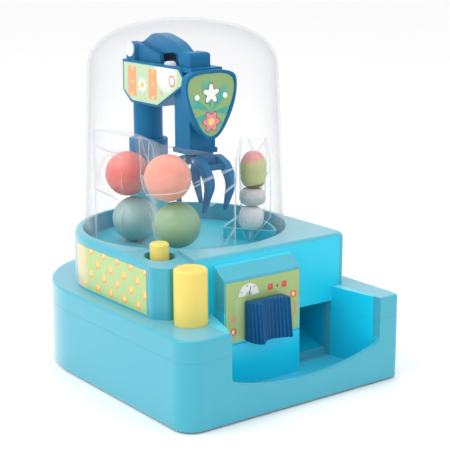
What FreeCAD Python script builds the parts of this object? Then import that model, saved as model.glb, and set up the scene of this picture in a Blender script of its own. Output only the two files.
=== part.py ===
"""Toy claw crane machine: a two-tier base, a clear dome and a swivelling crane that picks prizes.

Frame: X to the right along the tray side, Y towards the back, Z up, millimetres.
The origin is the middle of the base's footprint, on the surface that the feet stand on.
"""
import FreeCAD
import Part
import math
import os

V = FreeCAD.Vector
X_AXIS = V(1, 0, 0)
Y_AXIS = V(0, 1, 0)
Z_AXIS = V(0, 0, 1)

# ---- clearances ------------------------------------------------------------------------------
slide_gap = 0.3          # between pieces that slide past each other
seat_gap = 0.3           # between a loose piece and what it rests on
pin_gap = 0.1            # radial clearance of a hinge pin in its bore

# ---- base, lower tier ------------------------------------------------------------------------
base_width = 160.0       # X
base_depth = 198.0       # Y
tier_height = 54.0       # top of the lower tier
seam_height = 41.0       # where the two shells meet
left_corner = 12.0       # plan radius of the left front corner
right_corner = 4.0       # plan radius of the right front corner
back_corner = 69.0       # plan radius of the back corners
wall = 2.4               # shell thickness
foot_proud = 0.8         # how far the feet lift the shell
foot_radius = 6.0
foot_recess = 1.2
half_x = base_width / 2
half_y = base_depth / 2

# ---- tray ------------------------------------------------------------------------------------
tray_left_front = -48.5  # X of the tray's left wall at the front face
tray_left_back = -34.4   # and at the back of the tray
tray_right_front = 63.5  # the same for the right wall
tray_right_back = 56.0
tray_back = -58.0        # Y of the wall behind the control box
tray_floor = 9.0         # top of the tray's floor
lip_low = 16.8           # lowest point of the front lip
lip_high = 26.3          # where the lip meets the right wall
lip_corner = 5.0

# ---- deck, upper tier ------------------------------------------------------------------------
deck_inset = 10.0        # ledge between the two tiers
deck_top = 87.2
deck_front = -62.0
deck_round = 3.4         # fillet of the deck's top edge
deck_half = half_x - deck_inset
dome_y = 16.3            # centre of the dome and of the deck's round back
outlet_top = 45.0        # lower edge of the deck's front wall over the chute's mouth
platform_low = 83.6      # top of the small button's platform at its front edge

# ---- dome ------------------------------------------------------------------------------------
dome_radius = 63.8       # outside, at the foot
dome_shoulder = 59.5     # outside radius where the crown starts
dome_shoulder_z = 186.0
dome_top = 217.4
dome_wall = 1.6
crown_power = 2.35       # roundness of the crown: 2 is an ellipse
seat_radius = dome_radius + 0.8
nub_height = 0.6

# ---- play floor and chute --------------------------------------------------------------------
floor_top = 76.0
floor_wall = 2.4
floor_radius = seat_radius + 2.2
chute_corner = (26.4, 8.7)     # the chute's corner nearest to the claw
chute_side = 40.0        # sides of the square mouth
chute_turn = -54.0       # plan angle of the mouth's near side
chute_rim = 57.0         # radius about the dome's centre that the mouth stays inside
chute_bottom = (26.0, tray_right_back)    # X limits of the outlet into the tray
fence_top = 83.0
fence_wall = 1.8

# ---- crane -----------------------------------------------------------------------------------
post_y = 56.7            # swivel axis
post_radius = 9.5
post_bottom = 47.0
post_top = 183.0
collar_radius = 12.75
collar_top = 138.0
socket_top = 122.0       # the moulded socket that the collar stands on
head_half = 12.0
head_wall = 1.8
head_top = 189.2
head_low = 162.2
head_front = -2.0
head_back = 67.2
sleeve_half = 9.6
sleeve_y = (-4.3, 11.8)
sleeve_low = 136.0
sleeve_wall = 1.6
rocker_y = 60.0
rocker_z = 196.0
rocker_half = 4.0
ear_radius = 4.8
ear_half = 10.6
cap_thick = 0.8
pull_y = 50.7            # the drop rod, inside the post
grip_y = 60.9            # the grip rod, inside the post
rod_radius = 1.5
nose_z = 194.0
web_z = 190.2            # top of the web that the drop rod pulls
nose_radius = 2.0
roller_y = 19.5
roller_z = 187.2
roller_radius = 4.2
roller_x = (-9.6, -5.0)  # X limits of the left roller; the right one mirrors it
stub_radius = 1.2        # pins that carry the rollers
stub_depth = 0.8         # how far they reach into the head's wall
crank_reach = 25.0       # from the swivel axis to the crank's pin

# ---- shield in front of the claw -------------------------------------------------------------
shield_y = (-14.2, -9.2)
shield_half = 19.0
shield_z = (146.0, 188.2)
shield_rim = 1.6
label_thick = 0.3

# ---- claw ------------------------------------------------------------------------------------
plunger_gap = 0.4
claw_y = -3.7            # plane in which the jaws meet
hinge_half = 4.5
hinge_z = 132.6
prong_x = 8.0
prong_width = 4.6
prong_tip = 1.1           # half the width of a prong at its tip

# ---- controls --------------------------------------------------------------------------------
box_x = (-34.0, 22.7)
box_front = -72.0
box_top = 82.4
box_brow = 75.0          # height of the front edge, below the sloping top
box_wall = 2.0
knob_x = (-20.0, 8.0)
knob_z = (37.0, 61.2)
knob_front = -80.0
knob_travel = (-1.8, 5.3)
tall_button = (-55.5, -69.5)
tall_radius = 9.75
tall_top = 86.5
small_button = (-54.0, -36.0)
small_radius = 6.2
small_top = 94.2
small_well = 9.2
well_floor = 70.0
grip_travel = 5.0
stem_gap = 0.35
spring_wire = 1.2
spring_radius = 4.0
spring_seat = 12.0       # top of the pillar under the small button's spring
drop_pivot_y = 74.7      # hinge of the lever under the tall button
grip_pivot_y = 88.0      # hinge of the lever under the small button
drop_lever_z = 20.0
grip_lever_z = 31.0
lever_thick = 3.0
lever_width = 7.0

# ---- prizes ----------------------------------------------------------------------------------
ball_radius = 14.2
balls = {
    "prize_ball_coral": (-26.0, 41.8, 119.4),
    "prize_ball_grey": (-24.0, 37.4, 90.6),
    "prize_ball_peach": (-33.0, -14.5, 126.3),
    "prize_ball_green": (-28.8, -17.8, 97.4),
}
small_prizes = {          # x, y of the foot, radius, height, upper and lower edge rounding
    "prize_bun_white": (35.0, -8.2, 8.0, 15.6, 7.4, 7.4),
    "prize_bun_grey": (36.6, -7.4, 8.6, 11.2, 5.0, 4.4),
    "prize_dumpling": (37.8, -6.6, 8.5, 23.0, 7.6, 3.0),
}
film = 0.35               # thickness that stands for a pouch's film
film_gap = 0.25           # between the film and what it holds
pouch_route = [(-49.0, 44.0), (-25.0, 39.6), (-31.0, -16.6), (-20.4, -30.4), (2.0, -36.0)]
pouch_z = (floor_top + seat_gap, 150.0)
tail_tip = (29.6, -12.6)


# ---- helpers ---------------------------------------------------------------------------------
def save(name, shape):
    """Write one node's STEP file."""
    shape.exportStep("parts/%s.step" % name)


def block(x, y, z):
    """Box between three pairs of limits."""
    return Part.makeBox(x[1] - x[0], y[1] - y[0], z[1] - z[0], V(x[0], y[0], z[0]))


def rod(radius, start, end):
    """Round bar between two points."""
    axis = end - start
    return Part.makeCylinder(radius, axis.Length, start, axis)


def upright(radius, x, y, z):
    """Vertical cylinder at (x, y) between two heights."""
    return Part.makeCylinder(radius, z[1] - z[0], V(x, y, z[0]))


def tube(outer, inner, x, y, z):
    """Vertical tube."""
    return upright(outer, x, y, z).cut(upright(inner, x, y, z))


def join(shapes):
    """Fuse a list of shapes into one solid."""
    whole = shapes[0]
    for shape in shapes[1:]:
        whole = whole.fuse(shape)
    return whole.removeSplitter()


def group(shapes):
    """Separate solids that share one node."""
    return Part.makeCompound(shapes)


def corner_wire(corners, plane):
    """Closed outline from (a, b, radius) corners, each rounded by an arc; plane maps (a, b) to a point."""
    count = len(corners)
    points = [V(a, b, 0) for a, b, _ in corners]
    edges = []
    joints = []
    for i in range(count):
        here = points[i]
        before = (points[i - 1] - here).normalize()
        after = (points[(i + 1) % count] - here).normalize()
        radius = corners[i][2]
        half = before.getAngle(after) / 2
        if radius <= 0 or half > 1.56:
            joints.append((here, None, here))
            continue
        reach = radius / math.tan(half)
        middle = (before + after).normalize()
        centre = here + middle * (radius / math.sin(half))
        joints.append((here + before * reach, centre - middle * radius, here + after * reach))
    for i in range(count):
        first, mid, last = joints[i]
        if mid is not None:
            edges.append(Part.Arc(plane(first), plane(mid), plane(last)).toShape())
        follow = joints[(i + 1) % count][0]
        if (follow - last).Length > 1e-6:
            edges.append(Part.makeLine(plane(last), plane(follow)))
    return Part.Wire(Part.__sortEdges__(edges))


def prism_z(corners, z):
    """Prism of a plan outline between two heights."""
    wire = corner_wire(corners, lambda p: V(p.x, p.y, z[0]))
    return Part.Face(wire).extrude(V(0, 0, z[1] - z[0]))


def prism_x(corners, x):
    """Prism of a (y, z) outline between two x."""
    wire = corner_wire(corners, lambda p: V(x[0], p.x, p.y))
    return Part.Face(wire).extrude(V(x[1] - x[0], 0, 0))


def prism_y(corners, y):
    """Prism of an (x, z) outline between two y."""
    wire = corner_wire(corners, lambda p: V(p.x, y[0], p.y))
    return Part.Face(wire).extrude(V(0, y[1] - y[0], 0))


def round_edges(shape, radius, wanted):
    """Fillet the edges that wanted(edge) picks."""
    picked = [edge for edge in shape.Edges if wanted(edge)]
    return shape.makeFillet(radius, picked)


def at_height(z):
    """Test for edges that lie at one height."""
    return lambda edge: abs(edge.BoundBox.ZMin - z) < 1e-4 and abs(edge.BoundBox.ZMax - z) < 1e-4


# ---- outlines --------------------------------------------------------------------------------
def tier_outline(inset):
    """Plan of the lower tier: a straight front between two rounded corners, a wide round back."""
    x = half_x - inset
    y = half_y - inset
    left = max(left_corner - inset, 0.5)
    right = max(right_corner - inset, 0.5)
    back = back_corner - inset
    return [(-x, -y, left), (x, -y, right), (x, y, back), (-x, y, back)]


def deck_outline(inset):
    """Plan of the deck: round back about the dome, straight sides, a notch behind the tall button."""
    x = deck_half - inset
    front = deck_front + inset
    notch = tall_button[1] + tall_radius + 1.25 + inset
    back = dome_y + deck_half - inset
    return [
        (x, front, max(8.0 - inset, 1.0)),
        (x, back, x),
        (-x, back, x),
        (-x, notch + 7.5 - inset * 0.4, 4.0),
        (-x + 7.2, notch, 3.0),
        (tall_button[0] + 5.0, notch, 1.5),
        (tall_button[0] + 9.0, front, 1.5),
    ]


def tray_side(front_x, back_x, y):
    """X at a given Y of a side wall of the tray that has these X at its two ends."""
    share = (y + half_y) / (tray_back + half_y)
    return front_x + (back_x - front_x) * share


def tray_plan(inset, front):
    """Plan of the tray's pocket, shrunk by inset; front is where it is open."""
    return [
        (tray_side(tray_left_front, tray_left_back, front) + inset, front, 0),
        (tray_side(tray_right_front, tray_right_back, front) - inset, front, 0),
        (tray_right_back - inset, tray_back - inset, 0),
        (tray_left_back + inset, tray_back - inset, 0),
    ]


def lip_cut():
    """The opening in the front wall: a low arc between two rounded corners, open at the top."""
    left = tray_left_front
    right = tray_right_front
    sag = (lip_high + 22.0) / 2
    arc = Part.Arc(V(left, 0, sag + 0.9), V(2.0, 0, lip_low), V(right, 0, lip_high)).toShape()
    top = tier_height + 10
    edges = [
        arc,
        Part.makeLine(V(right, 0, lip_high), V(right, 0, top)),
        Part.makeLine(V(right, 0, top), V(left, 0, top)),
        Part.makeLine(V(left, 0, top), V(left, 0, sag + 0.9)),
    ]
    solid = Part.Face(Part.Wire(edges)).extrude(V(0, wall + 6, 0))
    solid.translate(V(0, -half_y - 3, 0))
    corners = [edge for edge in solid.Edges
               if edge.BoundBox.YLength > 1 and edge.BoundBox.ZMax < tier_height]
    return solid.makeFillet(lip_corner, corners)


screw_places = [(-71.0, -48.0), (71.0, -48.0), (-57.0, 52.0), (57.0, 52.0)]
pillar_places = [(-48.0, 40.0), (20.0, 62.0), (-27.0, -29.0)]
foot_places = [(-66.0, -86.0), (66.0, -86.0), (-42.0, 72.0), (42.0, 72.0)]
boss_radius = 4.5
screw_radius = 1.5


# ---- shells ----------------------------------------------------------------------------------
def base_shell():
    """Lower shell: outer wall, floor, the tray's pocket, screw bosses and floor pillars."""
    low = foot_proud
    outer = prism_z(tier_outline(0), (low, seam_height))
    outer = round_edges(outer, 1.2, at_height(low))
    inner = prism_z(tier_outline(wall), (low + wall, seam_height))
    shell = outer.cut(inner)
    front = -half_y + 0.5
    pocket_outer = prism_z(tray_plan(-wall, front), (tray_floor - wall, seam_height))
    pocket_inner = prism_z(tray_plan(0, front), (tray_floor, seam_height))
    mouth = block(chute_bottom, (tray_back - 1, tray_back + wall + 1), (tray_floor + 4, seam_height + 1))
    pocket = pocket_outer.cut(pocket_inner).cut(mouth)
    inside = prism_z(tier_outline(0.5), (low, seam_height))
    shell = shell.fuse(pocket.common(inside))
    hollow = prism_z(tray_plan(0, -half_y + wall - 0.01), (tray_floor, seam_height + 1))
    shell = shell.cut(hollow).cut(lip_cut())
    extras = []
    for x, y in screw_places:
        extras.append(upright(boss_radius, x, y, (low + 1, seam_height)))
    for x, y in pillar_places:
        extras.append(upright(boss_radius, x, y, (low + 1, floor_top - floor_wall)))
    extras.append(upright(spring_radius + 1.0, *small_button, (low + 1, spring_seat)))
    for x in (-24.0, 12.0):
        for y, z in ((drop_pivot_y, drop_lever_z), (grip_pivot_y - 1.0, grip_lever_z)):
            extras.append(block((x - 2, x + 2), (y - 4, y + 4 if y < 80 else 95), (low + 1, z + 5)))
    shell = join([shell] + extras)
    for x, y in screw_places:
        shell = shell.cut(upright(screw_radius + 0.2, x, y, (low, seam_height)))
        shell = shell.cut(upright(3.2, x, y, (low - 1, low + 6)))
    for x, y in foot_places:
        shell = shell.cut(upright(foot_radius + 0.1, x, y, (low - 1, low + foot_recess)))
    for name, y, z in lever_axes():
        shell = shell.cut(rod(1.25 + 0.02, V(-30, y, z), V(18, y, z)))
    return shell


def lever_axes():
    """Hinge lines of the two levers under the play floor."""
    middle = lever_thick / 2
    return [("drop", drop_pivot_y, drop_lever_z + middle), ("grip", grip_pivot_y, grip_lever_z + middle)]


def top_shell():
    """Upper shell: ledge, deck, the round seat for the dome, button holes and the tray's rim."""
    skirt = prism_z(tier_outline(0), (seam_height, tier_height))
    skirt = round_edges(skirt, 1.6, at_height(tier_height))
    deck = prism_z(deck_outline(0), (tier_height - 1, deck_top))
    x_cut = (-deck_half - 1, -39.0)
    wedge = prism_x([(-70, platform_low - 0.4, 0), (-20, deck_top, 0), (-20, 100, 0), (-70, 100, 0)], x_cut)
    crease = prism_z([(-50, -75, 0), (-38, -25, 0), (-30, -10, 0), (0, -10, 0), (0, -75, 0)], (60, 110))
    deck = round_edges(deck, deck_round, at_height(deck_top))
    deck = deck.cut(wedge.cut(crease))
    shell = skirt.fuse(deck)
    ledge_under = tier_height - wall
    shell = shell.cut(prism_z(tier_outline(wall), (seam_height - 1, ledge_under)))
    shell = shell.cut(prism_z(deck_outline(wall), (ledge_under - 1, platform_low - wall)))
    shell = shell.cut(upright(seat_radius, 0, dome_y, (floor_top, deck_top + 1)))
    ring = tube(seat_radius + 2.2, seat_radius, 0, dome_y, (floor_top, platform_low))
    ring = ring.common(prism_z(deck_outline(0.5), (50, 90)))
    tray_zone = (seam_height, tier_height)
    rim_walls = prism_z(tray_plan(-wall, -half_y + 0.5), tray_zone)
    rim_walls = rim_walls.common(prism_z(tier_outline(0.5), tray_zone))
    guide = tube(tall_radius + 2.2, tall_radius + slide_gap, *tall_button, (36.0, tier_height - 0.5))
    well = upright(small_well + 1.6, *small_button, (66.0, platform_low - 1.0))
    bosses = [upright(boss_radius, x, y, (seam_height, tier_height - 1)) for x, y in screw_places]
    shell = join([shell, ring, rim_walls, guide, well] + bosses)
    shell = shell.cut(prism_z(tray_plan(0, -half_y - 5), (seam_height - 1, tier_height + 1)))
    behind = (tray_left_back - wall, tray_right_back + wall)
    over = block(behind, (tray_back - 0.01, tray_back + wall + 0.01), (outlet_top, tier_height))
    mouth = block(chute_bottom, (tray_back - 1, tray_back + wall + 1), (seam_height - 1, outlet_top))
    shell = shell.cut(over).cut(mouth).cut(lip_cut())
    shell = shell.fuse(deck_front_wall())
    shell = shell.cut(upright(tall_radius + slide_gap, *tall_button, (30, tier_height + 1)))
    shell = shell.cut(upright(small_well, *small_button, (well_floor, deck_top + 5)))
    shell = shell.cut(upright(small_radius + slide_gap - 1.6, *small_button, (60.0, 80.0)))
    for x, y in screw_places:
        shell = shell.cut(upright(screw_radius - 0.01, x, y, (seam_height - 1, tier_height - 3)))
    return shell.removeSplitter()


def deck_front_wall():
    """The deck's front wall over the tray, with the window behind the control box."""
    face_x = (tray_left_back - 4, tray_right_front + 1)
    face = block(face_x, (deck_front, deck_front + wall), (outlet_top, platform_low))
    window = block((box_x[0] + 8, box_x[1] - 6), (deck_front - 1, deck_front + wall + 1), (44.0, 56.0))
    return face.cut(window)


# ---- base details ----------------------------------------------------------------------------
def case_screws():
    """Four screws that hold the shells together, from below."""
    screws = []
    for x, y in screw_places:
        head = upright(3.0, x, y, (foot_proud + 4.0, foot_proud + 6.0))
        screws.append(head.fuse(upright(screw_radius - 0.02, x, y, (foot_proud + 6.0, tier_height - 4))))
    return group(screws)


def rubber_feet():
    """Four round feet, let into the floor of the lower shell."""
    top = foot_proud + foot_recess
    pads = [upright(foot_radius, x, y, (0, top)) for x, y in foot_places]
    return group([round_edges(pad, 0.4, at_height(0)) for pad in pads])


def lever_pins():
    """Hinge pins of the two levers."""
    return group([rod(1.25, V(-27, y, z), V(15, y, z)) for name, y, z in lever_axes()])


# ---- play floor and chute --------------------------------------------------------------------
def chute_plan(inset):
    """Plan of the chute's mouth: a turned square, cut off by a circle inside the dome."""
    along = V(math.cos(math.radians(chute_turn)), math.sin(math.radians(chute_turn)), 0)
    across = V(-along.y, along.x, 0)
    start = V(chute_corner[0], chute_corner[1], 0) + (along + across) * inset
    side = chute_side - 2 * inset
    corners = [start, start + along * side, start + (along + across) * side, start + across * side]
    return [(c.x, c.y, max(2.5 - inset, 0.4)) for c in corners]


def chute_solid(inset, z):
    """Prism of the chute's mouth between two heights."""
    return prism_z(chute_plan(inset), z).common(upright(chute_rim - inset, 0, dome_y, z))


def play_floor():
    """Floor under the dome with the crane's socket and the fenced mouth of the chute."""
    low = floor_top - floor_wall
    plate = upright(floor_radius, 0, dome_y, (low, floor_top))
    plate = plate.common(prism_z(deck_outline(wall + 0.3), (low, floor_top)))
    socket = upright(collar_radius, 0, post_y, (low, socket_top))
    plate = plate.cut(upright(small_well + 1.6 + slide_gap, *small_button, (low - 1, floor_top + 1)))
    fence = chute_solid(-fence_wall, (low, fence_top))
    plate = join([plate, socket, fence])
    plate = plate.cut(chute_solid(0, (low - 1, fence_top + 1)))
    return plate.cut(upright(post_radius + slide_gap, 0, post_y, (low - 1, socket_top + 1)))


def prize_chute():
    """Funnel from the floor's mouth down to the tray: side walls, a back wall and a slanted floor."""
    thick = fence_wall
    top = floor_top - floor_wall
    x = (chute_bottom[0] - thick, chute_bottom[1] + thick)
    y_back = 42.0
    y_front = tray_back + wall
    low = tray_floor + 1.6
    outside = prism_x([(y_front, low, 0), (y_back, 44, 0), (y_back, top, 0), (y_front, top, 0)], x)
    inner_x = chute_bottom
    inside = prism_x([(y_front - 1, tray_floor + 1.6 + thick, 0), (y_back - thick, 44 + thick, 0),
                      (y_back - thick, top - thick, 0), (y_front - 1, top - thick, 0)], inner_x)
    body = outside.cut(inside).cut(chute_solid(0, (top - thick - 1, top + 1)))
    front_part = block((0, 62.5), (y_front, 0), (0, 60))
    body = body.common(upright(floor_radius - 1.5, 0, dome_y, (0, top)).fuse(front_part))
    for x, y in screw_places + pillar_places:
        body = body.cut(upright(boss_radius + 0.4, x, y, (0, top + 1)))
    return max(body.Solids, key=lambda solid: solid.Volume)


# ---- dome ------------------------------------------------------------------------------------
def dome_profile(inset):
    """Edges of the dome's outline from foot to apex in the XZ plane."""
    foot = dome_radius - inset
    straight = 24.0
    shoulder = dome_shoulder - inset
    top = dome_top - inset
    points = [V(foot, 0, floor_top), V(foot, 0, floor_top + straight), V(shoulder, 0, dome_shoulder_z)]
    crown = Part.BSplineCurve()
    rise = top - dome_shoulder_z
    power = 2.0 / crown_power
    turns = [math.radians(a) for a in (18, 34, 48, 62, 76)]
    middle = [V(shoulder * math.cos(t) ** power, 0, dome_shoulder_z + rise * math.sin(t) ** power)
              for t in turns]
    lean = (points[2] - points[1]).normalize()
    crown.interpolate([points[2]] + middle + [V(0, 0, top)], InitialTangent=lean, FinalTangent=V(-1, 0, 0))
    edges = [Part.makeLine(points[0], points[1]), Part.makeLine(points[1], points[2]), crown.toShape()]
    edges.append(Part.makeLine(V(0, 0, top), V(0, 0, floor_top)))
    edges.append(Part.makeLine(V(0, 0, floor_top), points[0]))
    return edges


def dome_solid(inset):
    """Solid of revolution inside the dome's outline."""
    face = Part.Face(Part.Wire(dome_profile(inset)))
    solid = face.revolve(V(0, 0, 0), Z_AXIS, 360)
    solid.translate(V(0, dome_y, 0))
    return solid


def dome():
    """Clear dome, with the moulding's gate mark on its apex."""
    shell = dome_solid(0).cut(dome_solid(dome_wall))
    return shell.fuse(upright(1.6, 0, dome_y, (dome_top - 0.6, dome_top + nub_height)))


# ---- crane: column and head ------------------------------------------------------------------
def column_collar():
    """Ring that the column turns in, on top of the floor's socket."""
    ring = upright(collar_radius, 0, post_y, (socket_top, collar_top))
    ring = round_edges(ring, 0.8, at_height(collar_top))
    return ring.cut(upright(post_radius + slide_gap, 0, post_y, (socket_top - 1, collar_top + 1)))


def crane_post():
    """Turning column with two bores for the rods."""
    post = upright(post_radius, 0, post_y, (post_bottom, post_top))
    groove = tube(post_radius + 1, post_radius - 1.5, 0, post_y, (70.5, 72.5))
    post = post.cut(groove)
    for y in (pull_y, grip_y):
        post = post.cut(upright(rod_radius + slide_gap, 0, y, (post_bottom - 1, post_top + 1)))
    return post


def post_retainer():
    """Split clip in the column's groove, under the play floor."""
    clip = tube(post_radius + 3.0, post_radius - 1.5, 0, post_y, (70.5, 72.5))
    return clip.cut(block((-30, -post_radius + 3.5), (post_y - 3, post_y + 3), (60, 80)))


def swivel_crank():
    """Crank under the column, with the pin that the knob's link drives."""
    z = (post_bottom - 3.0, post_bottom)
    arm_y = post_y - crank_reach
    arm = block((-5, 5), (arm_y, post_y), z)
    crank = join([upright(post_radius, 0, post_y, z), arm, upright(5, 0, arm_y, z),
                  upright(2.0, 0, arm_y, (z[0], post_bottom + 4.4))])
    for y in (pull_y, grip_y):
        crank = crank.cut(upright(rod_radius + slide_gap, 0, y, (z[0] - 1, z[1] + 1)))
    return crank


def head_outline(inset):
    """Side view of the head: a long hexagon that narrows downwards."""
    front = head_front + inset
    back = head_back - inset
    top = head_top
    low = head_low + inset
    turn = 0.5 * inset
    return [
        (front, 178.2 + turn, 1.5), (front, 182.8, 2.0), (front + 4.4, top, 1.0), (back, top, 0.0),
        (back, 169.2 + turn, 1.5), (back - 9.3, low, 2.0), (27.8 - turn, low, 2.0),
    ]


def head_whole():
    """Head with its channel, the claw's sleeve and the rocker's ears, before it is split."""
    inner = head_half - head_wall
    body = prism_x(head_outline(0), (-head_half, head_half))
    sleeve = block((-sleeve_half, sleeve_half), sleeve_y, (sleeve_low, head_top))
    skirt_z = (sleeve_low, sleeve_low + 3.0)
    skirt = block((-sleeve_half - 1, sleeve_half + 1), (sleeve_y[0] - 1, sleeve_y[1] + 1), skirt_z)
    cheek = rocker_half + 0.6
    ears = [rod(ear_radius, V(s * cheek, rocker_y, rocker_z), V(s * ear_half, rocker_y, rocker_z))
            for s in (-1, 1)]
    stand_y = (rocker_y - ear_radius, rocker_y + ear_radius)
    stands = [block(x, stand_y, (head_top - 4, rocker_z)) for x in ((-ear_half, -cheek), (cheek, ear_half))]
    sunk = head_top - 1.0
    wedge = [(58.0, 200.2, 0), (51.8, 199.4, 0), (30.6, 194.2, 1.0), (29.8, sunk, 0), (58.0, sunk, 0)]
    wedges = [prism_x(wedge, x) for x in ((-7.6, -cheek), (cheek, 7.6))]
    cap = block((-head_half + 0.5, head_half - 0.5), (shield_y[1], 12.0), (head_top - 2.6, head_top))
    neck = block((-7, 7), (shield_y[1], sleeve_y[0]), (158.0, head_top - 1))
    body = body.cut(prism_x(head_outline(head_wall), (-inner, inner)))
    body = join([body, sleeve, skirt, cap, neck] + stands)
    reach = sleeve_half - sleeve_wall
    bore = block((-reach, reach), (sleeve_y[0] + sleeve_wall, sleeve_y[1] - sleeve_wall), (0, 300))
    body = join([body.cut(bore)] + ears + wedges)
    window_z = (head_top - head_wall - 1.0, head_top + 1.0)
    body = body.cut(block((-inner, inner), (sleeve_y[1] + 1.4, 30.0), window_z))
    rocker_slot = block((-cheek, cheek), (5.0, 80.0), (head_top - 9.0, 260.0))
    slot_side = prism_x([(4, 176, 0), (60, 176, 0), (66, 210, 0), (4, 210, 0)], (-9, 9))
    body = body.cut(rocker_slot.common(slot_side))
    body = body.cut(upright(post_radius, 0, post_y, (head_low - 1, post_top + 0.01)))
    body = body.cut(rod(1.6 + 0.02, V(-20, rocker_y, rocker_z), V(20, rocker_y, rocker_z)))
    reach = inner + stub_depth
    return body.cut(rod(stub_radius + 0.02, V(-reach, roller_y, roller_z), V(reach, roller_y, roller_z)))


def head_half_shell(side):
    """One half of the head; side is -1 for the left half and +1 for the right half."""
    x = (-50, 0) if side < 0 else (0, 50)
    half = head_whole().common(block(x, (-60, 120), (100, 260)))
    return max(half.Solids, key=lambda solid: solid.Volume)


def guide_roller():
    """Two white thread rollers beside the rocker, each on a stub pin in its half of the head."""
    end = head_half - head_wall + stub_depth
    rollers = []
    for s in (-1, 1):
        face = V(-s * roller_x[1], roller_y, roller_z)
        pin = rod(stub_radius, V(s * end, roller_y, roller_z), face)
        wheel = rod(roller_radius, V(-s * roller_x[0], roller_y, roller_z), face)
        rollers.append(pin.fuse(wheel).removeSplitter())
    return group(rollers)


def rocker_pin():
    """Steel pin that the rocker turns on."""
    return rod(1.6, V(-ear_half, rocker_y, rocker_z), V(ear_half, rocker_y, rocker_z))


def rocker_caps():
    """White caps on the two ends of the rocker's pivot."""
    caps = []
    for s in (-1, 1):
        start = V(s * ear_half, rocker_y, rocker_z)
        caps.append(rod(ear_radius, start, start + V(s * cap_thick, 0, 0)))
    return group(caps)


def rocker_lever():
    """Arched lever from the pivot over the channel to the plunger, with the web that the drop rod pulls."""
    nose_end = sum(sleeve_y) / 2 + 1.0
    over = [(rocker_y, rocker_z + 4.2), (53.0, 201.6), (47.0, 205.0), (40.0, 207.0), (31.6, 206.2),
            (22.8, 204.0), (15.5, 201.2), (10.0, 197.7), (7.2, 196.5), (nose_end, nose_z + nose_radius)]
    under = [(nose_end, nose_z - nose_radius), (12.0, 194.2), (19.6, 196.2), (26.0, 195.6),
             (33.0, 194.8), (42.0, 195.0), (50.0, 195.4), (rocker_y, rocker_z - 4.2)]
    upper = [V(0, y, z) for y, z in over]
    lower = [V(0, y, z) for y, z in under]
    top_curve = Part.BSplineCurve()
    top_curve.interpolate(upper)
    low_curve = Part.BSplineCurve()
    low_curve.interpolate(lower)
    wire = Part.Wire([top_curve.toShape(), Part.makeLine(upper[-1], lower[0]), low_curve.toShape(),
                      Part.makeLine(lower[-1], upper[0])])
    arch = Part.Face(wire).extrude(V(2 * rocker_half, 0, 0))
    arch.translate(V(-rocker_half, 0, 0))
    hub = rod(4.2, V(-rocker_half, rocker_y, rocker_z), V(rocker_half, rocker_y, rocker_z))
    nose_y = sum(sleeve_y) / 2
    nose = rod(nose_radius, V(-rocker_half, nose_y, nose_z), V(rocker_half, nose_y, nose_z))
    web_y = (pull_y - 5.0, rocker_y)
    web = block((-rocker_half, rocker_half), web_y, (web_z - 2.0, web_z))
    cheek = block((-rocker_half, -rocker_half + 1.2), web_y, (web_z - 2.0, rocker_z + 3.0))
    other = block((rocker_half - 1.2, rocker_half), web_y, (web_z - 2.0, rocker_z + 3.0))
    lever = join([arch, hub, nose, web, cheek, other])
    lever = lever.cut(rod(1.6 + pin_gap, V(-9, rocker_y, rocker_z), V(9, rocker_y, rocker_z)))
    slot = rod_radius + 0.5
    slot_z = (web_z - 3.0, web_z + 1.0)
    lever = lever.cut(block((-slot, slot), (pull_y - 1.6, pull_y + 0.2), slot_z))
    return lever.cut([upright(slot, 0, pull_y + shift, slot_z) for shift in (-1.6, 0.2)])


def drop_rod():
    """Rod inside the column: its cross pins carry the pull of the drop lever to the rocker."""
    low = drop_lever_z - 3.0
    bar = upright(rod_radius, 0, pull_y, (low, web_z + 2.3))
    foot = rod(1.2, V(-4.0, pull_y, low + 1.5), V(4.0, pull_y, low + 1.5))
    hook_z = web_z + slide_gap + 1.1
    hook = rod(1.0, V(-2.7, pull_y, hook_z), V(2.7, pull_y, hook_z))
    return join([bar, foot, hook])


def grip_rod():
    """Second rod inside the column, pulled down by the grip lever; a thread leads on to the jaws."""
    low = grip_lever_z - 3.0
    bar = upright(rod_radius, 0, grip_y, (low, 184.6))
    foot = rod(1.2, V(-4.0, grip_y, low + 1.5), V(4.0, grip_y, low + 1.5))
    return join([bar, foot])


# ---- crane: claw -----------------------------------------------------------------------------
def claw_plunger():
    """Sliding block in the sleeve: slotted head, body and the carrier of the jaws."""
    reach = sleeve_half - sleeve_wall - plunger_gap
    y = (sleeve_y[0] + sleeve_wall + plunger_gap, sleeve_y[1] - sleeve_wall - plunger_gap)
    middle = sum(sleeve_y) / 2
    body = block((-reach, reach), y, (hinge_z + 4.2, 198.0))
    body = round_edges(body, 2.2, at_height(198.0))
    carrier_y = (claw_y - hinge_half - 3.2, claw_y + hinge_half + 3.2)
    carrier = block((-5.2, 5.2), carrier_y, (hinge_z - 3.2, sleeve_low - 0.4))
    neck = block((-5.2, 5.2), (y[0], carrier_y[1]), (hinge_z - 3.2, hinge_z + 5.0))
    plunger = join([body, carrier, neck])
    slot_z = (nose_z - nose_radius - slide_gap, nose_z + nose_radius + slide_gap)
    slot = block((-rocker_half - 0.4, rocker_half + 0.4), (middle - nose_radius - 0.4, y[1] + 1), slot_z)
    slot_x = (-rocker_half - 0.4, rocker_half + 0.4)
    opened = prism_x([(middle + 1, slot_z[0], 0), (y[1] + 1, slot_z[0] - 1.2, 0), (y[1] + 1, 200, 0),
                      (middle + 2.2, 200, 0), (middle + 1.2, slot_z[1], 0)], slot_x)
    bore = upright(2.4, 0, middle, (hinge_z + 4, 178.0))
    plunger = plunger.cut(slot).cut(opened).cut(bore)
    for y_pin in (claw_y - hinge_half, claw_y + hinge_half):
        plunger = plunger.cut(rod(1.02, V(-9, y_pin, hinge_z), V(9, y_pin, hinge_z)))
    return plunger


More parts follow.
